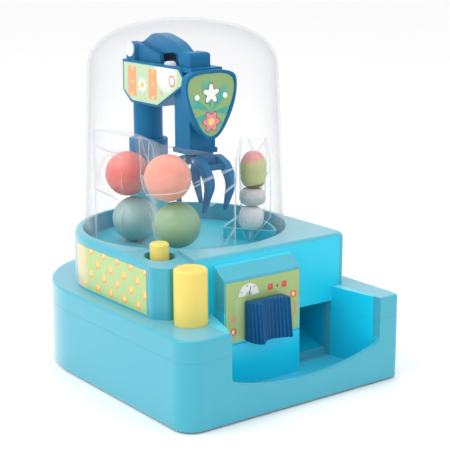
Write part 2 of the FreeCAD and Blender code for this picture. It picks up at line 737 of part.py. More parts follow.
def jaw(side):
    """One jaw: two elbowed prongs on a common bar; side is -1 for the front jaw, +1 for the rear."""
    hinge = claw_y + side * hinge_half
    def y(offset):
        return hinge + side * offset
    outline = [
        (y(-2.4), hinge_z - 2.0, 1.6), (y(-2.4), hinge_z + 2.6, 1.6), (y(2.0), hinge_z + 2.6, 1.2),
        (y(10.6), hinge_z - 0.6, 9.0), (y(18.6), 121.6, 11.0), (y(9.0), 101.6, 0.5),
        (y(7.6), 101.2, 0.3), (y(12.4), 119.6, 8.0), (y(6.6), 127.6, 5.0),
    ]
    half = prong_width / 2
    prongs = []
    for centre in (-prong_x, prong_x):
        taper = [(centre - half, 140.0, 0), (centre - half, 119.0, 6.0), (centre - prong_tip, 100.0, 0),
                 (centre + prong_tip, 100.0, 0), (centre + half, 119.0, 6.0), (centre + half, 140.0, 0)]
        blade = prism_x(outline, (centre - half, centre + half))
        prongs.append(blade.common(prism_y(taper, (claw_y - 30.0, claw_y + 30.0))))
    bar_y = (min(y(7.0), y(9.4)), max(y(7.0), y(9.4)))
    bar = block((-prong_x, prong_x), bar_y, (hinge_z - 5.2, hinge_z - 2.0))
    whole = join(prongs + [bar])
    return whole.cut(rod(1.0 + pin_gap, V(-20, hinge, hinge_z), V(20, hinge, hinge_z)))


def jaw_pins():
    """Two pins that the jaws hang on."""
    reach = prong_x + prong_width / 2
    return group([rod(1.0, V(-reach, y, hinge_z), V(reach, y, hinge_z))
                  for y in (claw_y - hinge_half, claw_y + hinge_half)])


def grip_slider():
    """Small piston inside the plunger that the thread pulls to close the jaws."""
    return upright(2.1, 0, sum(sleeve_y) / 2, (hinge_z + 5.4, 172.0))


# ---- shield and labels -----------------------------------------------------------------------
def shield_wire(inset, y):
    """Outline of the shield at a given y: a wide flat top that narrows to a rounded point."""
    low = shield_z[0] + inset
    top = shield_z[1] - inset
    half = shield_half - inset
    tall = shield_z[1] - shield_z[0]
    right = [(0.0, low), (0.22, low + 0.030 * tall), (0.52, low + 0.17 * tall), (0.86, low + 0.46 * tall),
             (1.0, low + 0.76 * tall), (0.93, top - 0.085 * tall), (0.62, top - 0.016 * tall), (0.0, top)]
    points = [V(a * half, y, z) for a, z in right]
    mirror = [V(-p.x, p.y, p.z) for p in points[-2:0:-1]]
    curve = Part.BSplineCurve()
    curve.interpolate(points + mirror, PeriodicFlag=True)
    return Part.Wire(curve.toShape())


def shield_slab(inset, y):
    """Slab of the shield's outline between two y."""
    return Part.Face(shield_wire(inset, y[0])).extrude(V(0, y[1] - y[0], 0))


def shield():
    """Shield on the front of the claw's sleeve, with a raised rim."""
    recess = (shield_y[0] - 0.1, shield_y[0] + 0.9)
    return shield_slab(0, shield_y).cut(shield_slab(shield_rim, recess))


def shield_label():
    """Printed label inside the shield's rim."""
    y = shield_y[0] + 0.9
    return shield_slab(shield_rim + 0.3, (y - label_thick, y))


def head_label(side):
    """Printed label on one cheek of the head."""
    x = (-head_half - label_thick, -head_half) if side < 0 else (head_half, head_half + label_thick)
    inset = 1.5
    outline = [(a, z - (inset if z == head_top else 0), 1.2) for a, z, r in head_outline(inset)]
    return prism_x(outline, x)


def side_label():
    """Printed label on the deck's left wall."""
    x = (-deck_half - label_thick, -deck_half)
    z = (tier_height + 1.6, 82.0)
    straight = block(x, (-46.5, dome_y), z)
    ring = tube(deck_half + label_thick, deck_half, 0, dome_y, z)
    spread = [(-90, dome_y, 0), (-90, dome_y + 27, 0), (-30, dome_y + 9, 0), (-30, dome_y, 0)]
    sector = prism_z(spread, (50, 90))
    return straight.fuse(ring.common(sector)).removeSplitter()


# ---- controls --------------------------------------------------------------------------------
def box_outline(inset):
    """Side view of the control box: upright front under a sloping top, open at the back."""
    low = tray_floor + inset
    back_low = tray_back
    return [
        (box_front + inset, low, 0), (back_low, low, 0), (back_low, outlet_top, 0), (deck_front, outlet_top, 0),
        (deck_front, box_top - 1.4 * inset, 0), (box_front + inset, box_brow - 0.4 * inset, 0.8),
    ]


def control_box():
    """Housing in front of the deck that guides the knob."""
    housing = prism_x(box_outline(0), box_x)
    inner = (box_x[0] + box_wall, box_x[1] - box_wall)
    housing = housing.cut(prism_x(box_outline(box_wall), inner))
    stem = knob_stem()
    slot_x = (stem[0] + knob_travel[0] - 0.6, stem[1] + knob_travel[1] + 0.6)
    housing = housing.cut(block(slot_x, (box_front - 1, box_front + box_wall + 1), (45.4, 53.6)))
    groove = block((box_x[0] - 1, box_x[1] + 1), (box_front - 0.1, box_front + 0.5), (35.4, 36.2))
    return housing.cut(groove)


def knob_stem():
    """X limits of the knob's stem."""
    middle = sum(knob_x) / 2
    return (middle - 3.0, middle + 3.0)


def control_label():
    """Printed panel on the control box's front, with a window for the knob's stem."""
    y = (box_front - label_thick, box_front)
    panel = block((box_x[0] + 1.0, box_x[1] - 1.0), y, (37.2, box_brow - 1.6))
    stem = knob_stem()
    slot_x = (stem[0] + knob_travel[0] - 0.8, stem[1] + knob_travel[1] + 0.8)
    return panel.cut(block(slot_x, (y[0] - 1, y[1] + 1), (45.2, 53.8)))


def slider_knob():
    """Knob with a finger ridge on its left and a hollow beside it, and the stem behind."""
    back = box_front - label_thick - slide_gap
    front = knob_front
    left, right = knob_x
    plan = [
        (left, back, 0), (left, front + 0.4, 2.0), (left + 4.2, front - 3.6, 1.2), (left + 6.4, front - 2.6, 1.0),
        (left + 10.6, front + 0.4, 3.0), (right - 9.0, front + 0.2, 6.0), (right, front - 2.6, 0.6),
        (right, back, 0),
    ]
    grip = prism_z(plan, knob_z)
    stem = knob_stem()
    return grip.fuse(block(stem, (back, box_front + box_wall + slide_gap), (46.0, 53.0)))


def slider_link():
    """Plate behind the slot and the flat bar that reaches back to the crank's pin."""
    stem = knob_stem()
    y_plate = box_front + box_wall + slide_gap
    plate = block((knob_x[0] + 3, knob_x[1] - 3), (y_plate, y_plate + 2.0), (42.0, 55.0))
    pin_y = post_y - crank_reach
    z = (post_bottom + 0.4, post_bottom + 3.2)
    bar = block(stem, (y_plate, pin_y - 7), z)
    eye = block((stem[0], 6.5), (pin_y - 8, pin_y + 5.0), z)
    slot = block((-2.4, 2.4), (pin_y - 4.5, pin_y + 2.6), (z[0] - 1, z[1] + 1))
    return join([plate, bar, eye]).cut(slot)


def button(place, radius, top, low, collar_z, stem_radius):
    """Round push button with a domed rim, a collar that stops it, and a stem."""
    cap = upright(radius, place[0], place[1], (collar_z, top))
    cap = round_edges(cap, 1.6, at_height(top))
    collar = upright(radius + 1.6, place[0], place[1], (collar_z - 2.0, collar_z))
    stem = upright(stem_radius, place[0], place[1], (low, collar_z - 1))
    return join([cap, collar, stem])


def tall_push_button():
    """Button that drops the claw."""
    collar = 35.6
    return button(tall_button, tall_radius, tall_top, drop_lever_z + lever_thick + stem_gap, collar, 2.0)


def small_push_button():
    """Button that closes the jaws."""
    collar = 65.6
    cap_low = well_floor + grip_travel + 0.6
    cap = round_edges(upright(small_radius, *small_button, (cap_low, small_top)), 1.6, at_height(small_top))
    low = grip_lever_z + lever_thick + stem_gap
    return button(small_button, small_radius - 1.9, cap_low + 2.0, low, collar, 2.0).fuse(cap)


def coil(place, z):
    """Envelope of a compression spring under a lever's pad."""
    return tube(spring_radius, spring_radius - spring_wire, place[0], place[1], z)


def lever(pivot_y, z, press, pull, width):
    """Flat lever: a bar from its hinge to a pad under a button, with a slot that pulls a rod."""
    top = (z, z + lever_thick)
    low = V(press[0], press[1], 0)
    high = V(-6.0, pivot_y, 0)
    run = high - low
    side = V(-run.y, run.x, 0).normalize() * (width / 2)
    corners = [low - side, high - side, high + side, low + side]
    bar = prism_z([(c.x, c.y, 0) for c in corners], top)
    pad = upright(width / 2 + 1.0, press[0], press[1], top)
    plate = block((-10.0, 6.0), (pull[1] - 5.0, pivot_y + 1.0), top)
    barrel = rod(2.6, V(-21.6, pivot_y, z + 1.5), V(9.6, pivot_y, z + 1.5))
    slot = block((-3.6, 3.6), (pull[1] - 2.4, pull[1] + 2.4), (z - 1, z + lever_thick + 1))
    whole = join([bar, pad, plate, barrel]).cut(slot)
    return whole.cut(rod(1.25 + pin_gap, V(-30, pivot_y, z + 1.5), V(20, pivot_y, z + 1.5)))


# ---- prizes ----------------------------------------------------------------------------------
def ball(place):
    """Round squeeze toy."""
    return Part.makeSphere(ball_radius, V(*place))


def stacked_prizes():
    """The small prizes, one on top of another, from the chute's fence upwards."""
    z = fence_top + seat_gap
    found = {}
    for name, (x, y, radius, height, upper, lower) in small_prizes.items():
        body = upright(radius, x, y, (z, z + height))
        body = round_edges(body, upper, at_height(z + height))
        found[name] = round_edges(body, lower, at_height(z))
        z += height + seat_gap
    return found


def upright_sheet(route, z, thick):
    """Thin upright sheet along a plan route of straight runs."""
    runs = []
    for (x0, y0), (x1, y1) in zip(route, route[1:]):
        run = V(x1 - x0, y1 - y0, 0)
        side = V(-run.y, run.x, 0).normalize() * (thick / 2)
        ends = [V(x0, y0, 0) - side, V(x1, y1, 0) - side, V(x1, y1, 0) + side, V(x0, y0, 0) + side]
        runs.append(prism_z([(c.x, c.y, 0) for c in ends], z))
        runs.append(upright(thick / 2, x1, y1, z))
    return join(runs[:-1])


def ball_pouch():
    """Clear pouch about the four balls: a film skin on each and the flat sheet that joins them."""
    pouch = upright_sheet(pouch_route, pouch_z, film)
    for place in balls.values():
        pouch = pouch.fuse(Part.makeSphere(ball_radius + film_gap + film, V(*place)))
    for place in balls.values():
        pouch = pouch.cut(Part.makeSphere(ball_radius + film_gap, V(*place)))
    return pouch.common(block((-80, 80), (-80, 80), pouch_z))


def small_pouch():
    """Clear pouch about the small prizes: a skin, a flat sheet and the gathered tail on the floor."""
    prizes = stacked_prizes()
    first = list(small_prizes.values())[0]
    last = list(small_prizes.values())[-1]
    top = max(shape.BoundBox.ZMax for shape in prizes.values())
    low = fence_top + seat_gap + first[3] / 2
    along = V(0.8, -0.6, 0)
    middle = V((first[0] + last[0]) / 2, (first[1] + last[1]) / 2, 0)
    ends = [middle - along * 11.5, middle + along * 12.5]
    sheet = upright_sheet([(e.x, e.y) for e in ends], (low, top + 9.0), film)
    tip = V(tail_tip[0], tail_tip[1], floor_top + seat_gap)
    start = V(first[0], first[1], low)
    depth = V(0.6, 0.8, 0) * (film / 2)
    corners = [start - along * 9.0 - depth, start + along * 9.0 - depth,
               tip + along - depth, tip - along - depth]
    tail = Part.Face(Part.makePolygon(corners + [corners[0]])).extrude(depth * 2)
    skins = []
    hollows = []
    z = fence_top + seat_gap
    for x, y, radius, height, upper, lower in small_prizes.values():
        skins.append(upright(radius + film_gap + film, x, y, (z + lower, z + height - upper + 1.0)))
        hollows.append(upright(radius + film_gap, x, y, (z - 0.2, z + height + 0.2)))
        z += height + seat_gap
    hollows.append(chute_solid(-fence_wall - 0.2, (floor_top, fence_top + 0.2)))
    whole = sheet.fuse([tail] + skins).cut(Part.makeCompound(hollows))
    return Part.makeCompound([solid for solid in whole.Solids if solid.Volume > 1.0])


def write_parts():
    """Write every node of the machine."""
    nodes = {
        "base_shell": base_shell(),
        "top_shell": top_shell(),
        "case_screws": case_screws(),
        "rubber_feet": rubber_feet(),
        "lever_pins": lever_pins(),
        "play_floor": play_floor(),
        "prize_chute": prize_chute(),
        "dome": dome(),
        "column_collar": column_collar(),
        "crane_post": crane_post(),
        "post_retainer": post_retainer(),
        "swivel_crank": swivel_crank(),
        "head_left": head_half_shell(-1),
        "head_right": head_half_shell(1),
        "guide_roller": guide_roller(),
        "rocker_pin": rocker_pin(),
        "rocker_caps": rocker_caps(),
        "rocker_lever": rocker_lever(),
        "drop_rod": drop_rod(),
        "grip_rod": grip_rod(),
        "claw_plunger": claw_plunger(),
        "jaw_front": jaw(-1),
        "jaw_rear": jaw(1),
        "jaw_pins": jaw_pins(),
        "grip_slider": grip_slider(),
        "shield": shield(),
        "shield_label": shield_label(),
        "head_label_left": head_label(-1),
        "head_label_right": head_label(1),
        "side_label": side_label(),
        "control_box": control_box(),
        "control_label": control_label(),
        "slider_knob": slider_knob(),
        "slider_link": slider_link(),
        "drop_button": tall_push_button(),
        "grip_button": small_push_button(),
        "drop_lever": lever(drop_pivot_y, drop_lever_z, tall_button, (0, pull_y), lever_width),
        "grip_lever": lever(grip_pivot_y, grip_lever_z, small_button, (0, grip_y), lever_width - 1),
    }
    for name, place in balls.items():
        nodes[name] = ball(place)
    nodes.update(stacked_prizes())
    nodes["ball_pouch"] = ball_pouch()
    nodes["small_pouch"] = small_pouch()
    nodes["drop_spring"] = coil(tall_button, (foot_proud + wall, drop_lever_z))
    nodes["grip_spring"] = coil(small_button, (spring_seat, grip_lever_z))
    for name, shape in nodes.items():
        save(name, shape)
        if not shape.isValid() or not shape.Solids:
            print("check", name, shape.isValid(), len(shape.Solids))


os.makedirs("parts", exist_ok=True)
write_parts()
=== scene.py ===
"""Looks of the toy claw crane machine: finishes, prizes, film pouches, studio light and camera.

The frame comes packed: X to the right along the tray side, Y to the back, Z up, metres. The sizes
below are in millimetres and are turned into metres where a mesh is filled.
"""
import logging
import math
from dataclasses import dataclass
from enum import Enum
from typing import Any, Callable, Sequence

import bpy
import numpy as np
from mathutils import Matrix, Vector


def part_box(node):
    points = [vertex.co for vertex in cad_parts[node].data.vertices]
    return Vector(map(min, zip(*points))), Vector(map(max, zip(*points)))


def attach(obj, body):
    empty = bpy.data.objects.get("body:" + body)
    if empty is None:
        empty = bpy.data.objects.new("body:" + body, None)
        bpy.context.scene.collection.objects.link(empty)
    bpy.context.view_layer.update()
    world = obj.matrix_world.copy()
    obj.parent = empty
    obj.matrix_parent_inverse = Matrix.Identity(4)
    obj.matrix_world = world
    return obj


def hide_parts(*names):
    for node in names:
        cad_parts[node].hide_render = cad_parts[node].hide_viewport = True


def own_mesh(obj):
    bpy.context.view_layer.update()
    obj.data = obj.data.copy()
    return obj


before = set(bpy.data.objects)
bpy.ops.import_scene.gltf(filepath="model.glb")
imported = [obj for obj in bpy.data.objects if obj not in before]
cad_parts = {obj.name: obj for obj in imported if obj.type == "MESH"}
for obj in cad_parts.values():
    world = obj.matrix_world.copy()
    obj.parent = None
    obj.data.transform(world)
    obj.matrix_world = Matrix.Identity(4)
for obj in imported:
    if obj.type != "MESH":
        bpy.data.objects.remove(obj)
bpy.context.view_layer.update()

MM = 0.001
log = logging.getLogger("crane")

Rgb = tuple[float, float, float]
Plan = Sequence[tuple[float, float]]


def paint(red: int, green: int, blue: int) -> Rgb:
    """Linear colour of a swatch given in display values from 0 to 255."""
    def linear(value: float) -> float:
        """Linear share of one display value."""
        share = value / 255
        return share / 12.92 if share <= 0.04045 else ((share + 0.055) / 1.055) ** 2.4
    return (linear(red), linear(green), linear(blue))


# ---- shader maths ----------------------------------------------------------------------------
class Value:
    """A node's output socket that takes part in Python expressions."""

    def __init__(self, shader: "Shader", socket: bpy.types.NodeSocket) -> None:
        """Wraps socket, which belongs to shader's tree."""
        self.shader = shader
        self.socket = socket

    def maths(self, operation: str, *others: Any) -> "Value":
        """One Math node.

        Args:
            operation: the Math node's operation.
            others: the operands after this one, numbers or values.

        Returns:
            The node's result.
        """
        operands = dict(enumerate((self, *others)))
        return self.shader.make("ShaderNodeMath", {"operation": operation}, operands)

    def _swapped(self, operation: str, left: float) -> "Value":
        """Math node with a plain number on its left."""
        return self.shader.make("ShaderNodeMath", {"operation": operation}, {0: left, 1: self})

    def __add__(self, other: Any) -> "Value":
        """Sum."""
        return self.maths("ADD", other)

    __radd__ = __add__

    def __sub__(self, other: Any) -> "Value":
        """Difference."""
        return self.maths("SUBTRACT", other)

    def __rsub__(self, other: float) -> "Value":
        """Number minus this value."""
        return self._swapped("SUBTRACT", other)

    def __mul__(self, other: Any) -> "Value":
        """Product."""
        return self.maths("MULTIPLY", other)

    __rmul__ = __mul__

    def __truediv__(self, other: Any) -> "Value":
        """Quotient."""
        return self.maths("DIVIDE", other)

    def __pow__(self, other: Any) -> "Value":
        """Power."""
        return self.maths("POWER", other)

    def __abs__(self) -> "Value":
        """Size without its sign."""
        return self.maths("ABSOLUTE")

    def __mod__(self, other: float) -> "Value":
        """Rest of a division, never negative."""
        return self.maths("FLOORED_MODULO", other)

    def least(self, other: Any) -> "Value":
        """The smaller of the two."""
        return self.maths("MINIMUM", other)

    def most(self, other: Any) -> "Value":
        """The larger of the two."""
        return self.maths("MAXIMUM", other)

    def clamped(self) -> "Value":
        """Held between 0 and 1."""
        return self.most(0.0).least(1.0)

    def under(self, limit: Any, soft: float) -> "Value":
        """Mask that is 1 below limit and 0 above it, over a soft edge."""
        return ((limit - self) / soft + 0.5).clamped()


class Shader:
    """Node tree of one material."""

    def __init__(self, name: str) -> None:
        """Starts an empty tree for a new material."""
        self.material = bpy.data.materials.new(name)
        self.material.use_nodes = True
        self.tree = self.material.node_tree
        self.tree.nodes.clear()

    def make(self, kind: str, settings: dict[str, Any] | None = None,
             sockets: dict[Any, Any] | None = None, output: Any = 0) -> Value | None:
        """Adds one node.

        Args:
            kind: the node's type.
            settings: properties to set first.
            sockets: input name or index to a number, tuple or Value.
            output: name or index of the output that is wanted.

        Returns:
            The output's value, or None for a node that has no output.
        """
        node = self.tree.nodes.new(kind)
        for key, setting in (settings or {}).items():
            setattr(node, key, setting)
        for key, given in (sockets or {}).items():
            socket = node.inputs[key]
            if isinstance(given, Value):
                self.tree.links.new(given.socket, socket)
            elif socket.type == "RGBA" and len(given) == 3:
                socket.default_value = (*given, 1.0)
            else:
                socket.default_value = given
        return Value(self, node.outputs[output]) if len(node.outputs) else None

    def where(self) -> Value:
        """Object coordinates, metres."""
        return self.make("ShaderNodeTexCoord", output="Object")

    def millimetres(self) -> tuple[Value, Value, Value]:
        """Object coordinates as three values in millimetres."""
        scaled = self.make("ShaderNodeVectorMath", {"operation": "SCALE"},
                           {0: self.where(), "Scale": 1 / MM})
        return tuple(self.make("ShaderNodeSeparateXYZ", {}, {0: scaled}, axis) for axis in range(3))

    def noise(self, scale: float, detail: float = 2.0, stretch: Rgb = (1, 1, 1)) -> Value:
        """Noise from 0 to 1 on Object coordinates.

        Args:
            scale: waves per metre.
            detail: octaves.
            stretch: factors of the three axes.

        Returns:
            The noise value.
        """
        vector = self.make("ShaderNodeMapping", {}, {"Vector": self.where(), "Scale": stretch})
        sockets = {"Vector": vector, "Scale": scale, "Detail": detail}
        return self.make("ShaderNodeTexNoise", {}, sockets, "Fac")

    def mix(self, factor: Any, first: Any, second: Any) -> Value:
        """Colour mix of first and second."""
        return self.make("ShaderNodeMix", {"data_type": "RGBA"},
                         {0: factor, 6: first, 7: second}, 2)

    def bump(self, height: Value, depth_mm: float, edge_mm: float = 0.0) -> Value:
        """Bumped normal, with edges rounded off in the shading.

        Args:
            height: relief from 0 to 1.
            depth_mm: how deep 1 is.
            edge_mm: radius of the rounded look of sharp edges.

        Returns:
            The normal.
        """
        sockets = {"Height": height, "Distance": depth_mm * MM, "Strength": 1.0}
        if edge_mm:
            sockets["Normal"] = self.make("ShaderNodeBevel", {"samples": 4},
                                          {"Radius": edge_mm * MM})
        return self.make("ShaderNodeBump", {}, sockets)

    def close(self, surface: Value) -> bpy.types.Material:
        """Ends the tree in surface and returns the material."""
        self.make("ShaderNodeOutputMaterial", {}, {"Surface": surface})
        return self.material

    def principled(self, sockets: dict[str, Any]) -> bpy.types.Material:
        """Ends the tree in a Principled surface and returns the material."""
        return self.close(self.make("ShaderNodeBsdfPrincipled", {}, sockets))


# ---- finishes --------------------------------------------------------------------------------
@dataclass(frozen=True)
class Moulded:
    """Coloured moulded plastic: a slight mottle, faint scuffs, orange peel and rounded edges."""

    name: str
    colour: Rgb
    roughness: float = 0.30
    coat: float = 0.05
    mottle: float = 0.05
    edge: float = 0.45
    shine: float = 0.3
    sheen: float = 0.0
    glow: float = 0.06

    def tone(self, shader: Shader) -> Value:
        """Base colour: the moulded colour, slightly cloudy."""
        light = tuple(min(1.0, c * (1 + self.mottle) + 0.01 * self.mottle) for c in self.colour)
        dark = tuple(c * (1 - self.mottle) for c in self.colour)
        return shader.mix(shader.noise(22, 3), dark, light)

    def dress(self) -> bpy.types.Material:
        """Builds the material."""
        shader = Shader(self.name)
        scuff = (shader.noise(90, 4, (1, 1, 5)) - 0.52) * 4.0
        rub = self.roughness + scuff.clamped() * 0.10
        normal = shader.bump(shader.noise(700, 2), 0.012, self.edge)
        return shader.principled({
            "Base Color": self.tone(shader), "Roughness": rub, "Coat Weight": self.coat,
            "Coat Roughness": 0.12, "Subsurface Weight": self.glow,
            "Subsurface Radius": (0.6, 0.9, 1.0), "Subsurface Scale": 1.5 * MM,
            "Normal": normal, "Specular IOR Level": self.shine,
            "Sheen Weight": self.sheen, "Sheen Roughness": 0.35})


@dataclass(frozen=True)
class ShellPlastic(Moulded):
    """Moulded plastic of the two shells, with painted bounce light and shade inside the tray: a
    purer, deeper cyan stands in for light bounced between the tray's walls.
    """

    # painted bounce light and shade: the tray's purer cyan is colour standing in for light bounced
    # between its walls, not a tone of the plastic
    painted_bounce_tone: Rgb = (0.0, 0.4, 0.6)
    pocket_x: tuple[float, float] = (-50.0, 62.9)
    pocket_y: tuple[float, float] = (-97.0, -61.6)
    pocket_z: tuple[float, float] = (8.0, 56.0)
    wall_y: float = -63.5

    def tone(self, shader: Shader) -> Value:
        """Base colour: the moulded colour, turning inside the tray into a painted tone that stands
        in for light bounced between its cyan walls.
        """
        x, y, z = shader.millimetres()
        half_x = (self.pocket_x[1] - self.pocket_x[0]) / 2
        half_y = (self.pocket_y[1] - self.pocket_y[0]) / 2
        # mask of the painted bounce tone: inside the tray's box, above its floor, and below the
        # label's height or behind the deck wall
        inside = abs(x - self.pocket_x[0] - half_x).under(half_x, 0.8)
        inside = inside * abs(y - self.pocket_y[0] - half_y).under(half_y, 0.8)
        inside = inside * (1 - z.under(self.pocket_z[0], 0.5))
        inside = inside * z.under(self.pocket_z[1], 1.0).most(1 - y.under(self.wall_y, 0.5))
        return shader.mix(inside, super().tone(shader), self.painted_bounce_tone)


@dataclass(frozen=True)
class Squeezy:
    """Soft matt rubber of the small prizes, in bands of colour by height."""

    name: str
    bands: tuple[tuple[float, Rgb], ...]
    speckle: float = 0.12
    wave: float = 0.4
    tilt: float = 0.0
    foot: tuple[float, float] = (0.0, 0.0)

    def dress(self) -> bpy.types.Material:
        """Builds the material: each band starts at its height, along a limit that may slope."""
        shader = Shader(self.name)
        x, y, z = shader.millimetres()
        aside = (x - self.foot[0]) + (self.foot[1] - y)
        level = z - aside * self.tilt + (shader.noise(160, 2) - 0.5) * self.wave * 4
        colour = self.bands[0][1]
        for low, tone in self.bands[1:]:
            colour = shader.mix(1 - level.under(low, 0.7), colour, tone)
        fleck = abs(shader.noise(420, 3) - 0.5) * self.speckle * 4
        colour = shader.mix(fleck.clamped(), colour, (0.80, 0.78, 0.72))
        return shader.principled({
            "Base Color": colour, "Roughness": 0.48 + shader.noise(200) * 0.12,
            "Subsurface Weight": 0.25, "Subsurface Radius": (1.0, 0.7, 0.5),
            "Subsurface Scale": 2.0 * MM,
            "Normal": shader.bump(shader.noise(900, 3), 0.03)})


@dataclass(frozen=True)
class BallPlastic:
    """Marbled plastic of a prize ball."""

    name: str
    light: Rgb
    deep: Rgb

    def dress(self) -> bpy.types.Material:
        """Builds the material: two tones swirl into each other under a soft gloss."""
        shader = Shader(self.name)
        swirl = (shader.noise(38, 4, (1, 1, 1.6)) - 0.30) * 2.4
        fine = (shader.noise(500, 3) - 0.5) * 0.25
        colour = shader.mix((swirl + fine).clamped(), self.deep, self.light)
        return shader.principled({
            "Base Color": colour, "Roughness": 0.36 + shader.noise(120) * 0.1,
            "Subsurface Weight": 0.2, "Subsurface Radius": (1.0, 0.8, 0.7),
            "Subsurface Scale": 2.0 * MM, "Coat Weight": 0.1,
            "Normal": shader.bump(shader.noise(650, 2), 0.015)})


@dataclass(frozen=True)
class Metal:
    """Bright steel with fine drawn lines."""

    name: str
    colour: Rgb
    roughness: float = 0.28

    def dress(self) -> bpy.types.Material:
        """Builds the material."""
        shader = Shader(self.name)
        lines = shader.noise(600, 2, (1, 1, 0.05))
        darker = tuple(c * 0.85 for c in self.colour)
        return shader.principled({
            "Base Color": shader.mix(shader.noise(60), self.colour, darker),
            "Metallic": 1.0, "Roughness": self.roughness + lines * 0.15,
            "Normal": shader.bump(lines, 0.01, 0.2)})


@dataclass(frozen=True)
class Rubber:
    """Matt black rubber with a fine grain."""

    name: str
    colour: Rgb

    def dress(self) -> bpy.types.Material:
        """Builds the material."""
        shader = Shader(self.name)
        lighter = tuple(c * 1.5 for c in self.colour)
        return shader.principled({
            "Base Color": shader.mix(shader.noise(150), self.colour, lighter),
            "Roughness": 0.72 + shader.noise(300) * 0.15,
            "Normal": shader.bump(shader.noise(1500, 3), 0.04, 0.3)})


@dataclass(frozen=True)
class Clear:
    """Clear plastic: light goes straight through, and grazing angles reflect a larger share."""

    name: str
    tint: Rgb
    base: float
    rim: float
    sharpness: float
    roughness: float
    waviness: float = 0.0
    creases: bool = False
    skin: Rgb = (0.90, 0.93, 0.95)

    def dress(self) -> bpy.types.Material:
        """Builds the material: a mix of plain transparency and a glossy skin."""
        shader = Shader(self.name)
        facing = shader.make("ShaderNodeLayerWeight", {}, {"Blend": 0.5}, "Facing")
        share = self.base + facing ** self.sharpness * self.rim
        # painted highlight: marked creases and bends turn whiter and more opaque; only the seal
        # edges are the film's own milky whitening
        if self.creases:
            line = shader.make("ShaderNodeAttribute", {"attribute_name": "crease_and_highlight"}, {}, "Fac")
            haze = (shader.noise(70, 4) - 0.5) * 0.22
            share = share + line * 0.5 + haze.clamped()
        through = shader.make("ShaderNodeBsdfTransparent", {}, {"Color": self.tint})
        skin = {"Base Color": self.skin, "Roughness": self.roughness + shader.noise(40) * 0.04,
                "IOR": 1.5, "Specular IOR Level": 0.9}
        if self.waviness:
            skin["Normal"] = shader.bump(shader.noise(180, 3), self.waviness)
        gloss = shader.make("ShaderNodeBsdfPrincipled", {}, skin)
        surface = shader.make("ShaderNodeMixShader", {}, {0: share.clamped(), 1: through, 2: gloss})
        return shader.close(surface)


class Art(Enum):
    """The printed labels."""

    FLOWERS = "flower rows of the long side label"
    PANEL = "gauge and lamps of the control panel"
    CHEEK = "bands and daisy of the crane's cheeks"
    BADGE = "star badge in front of the claw"


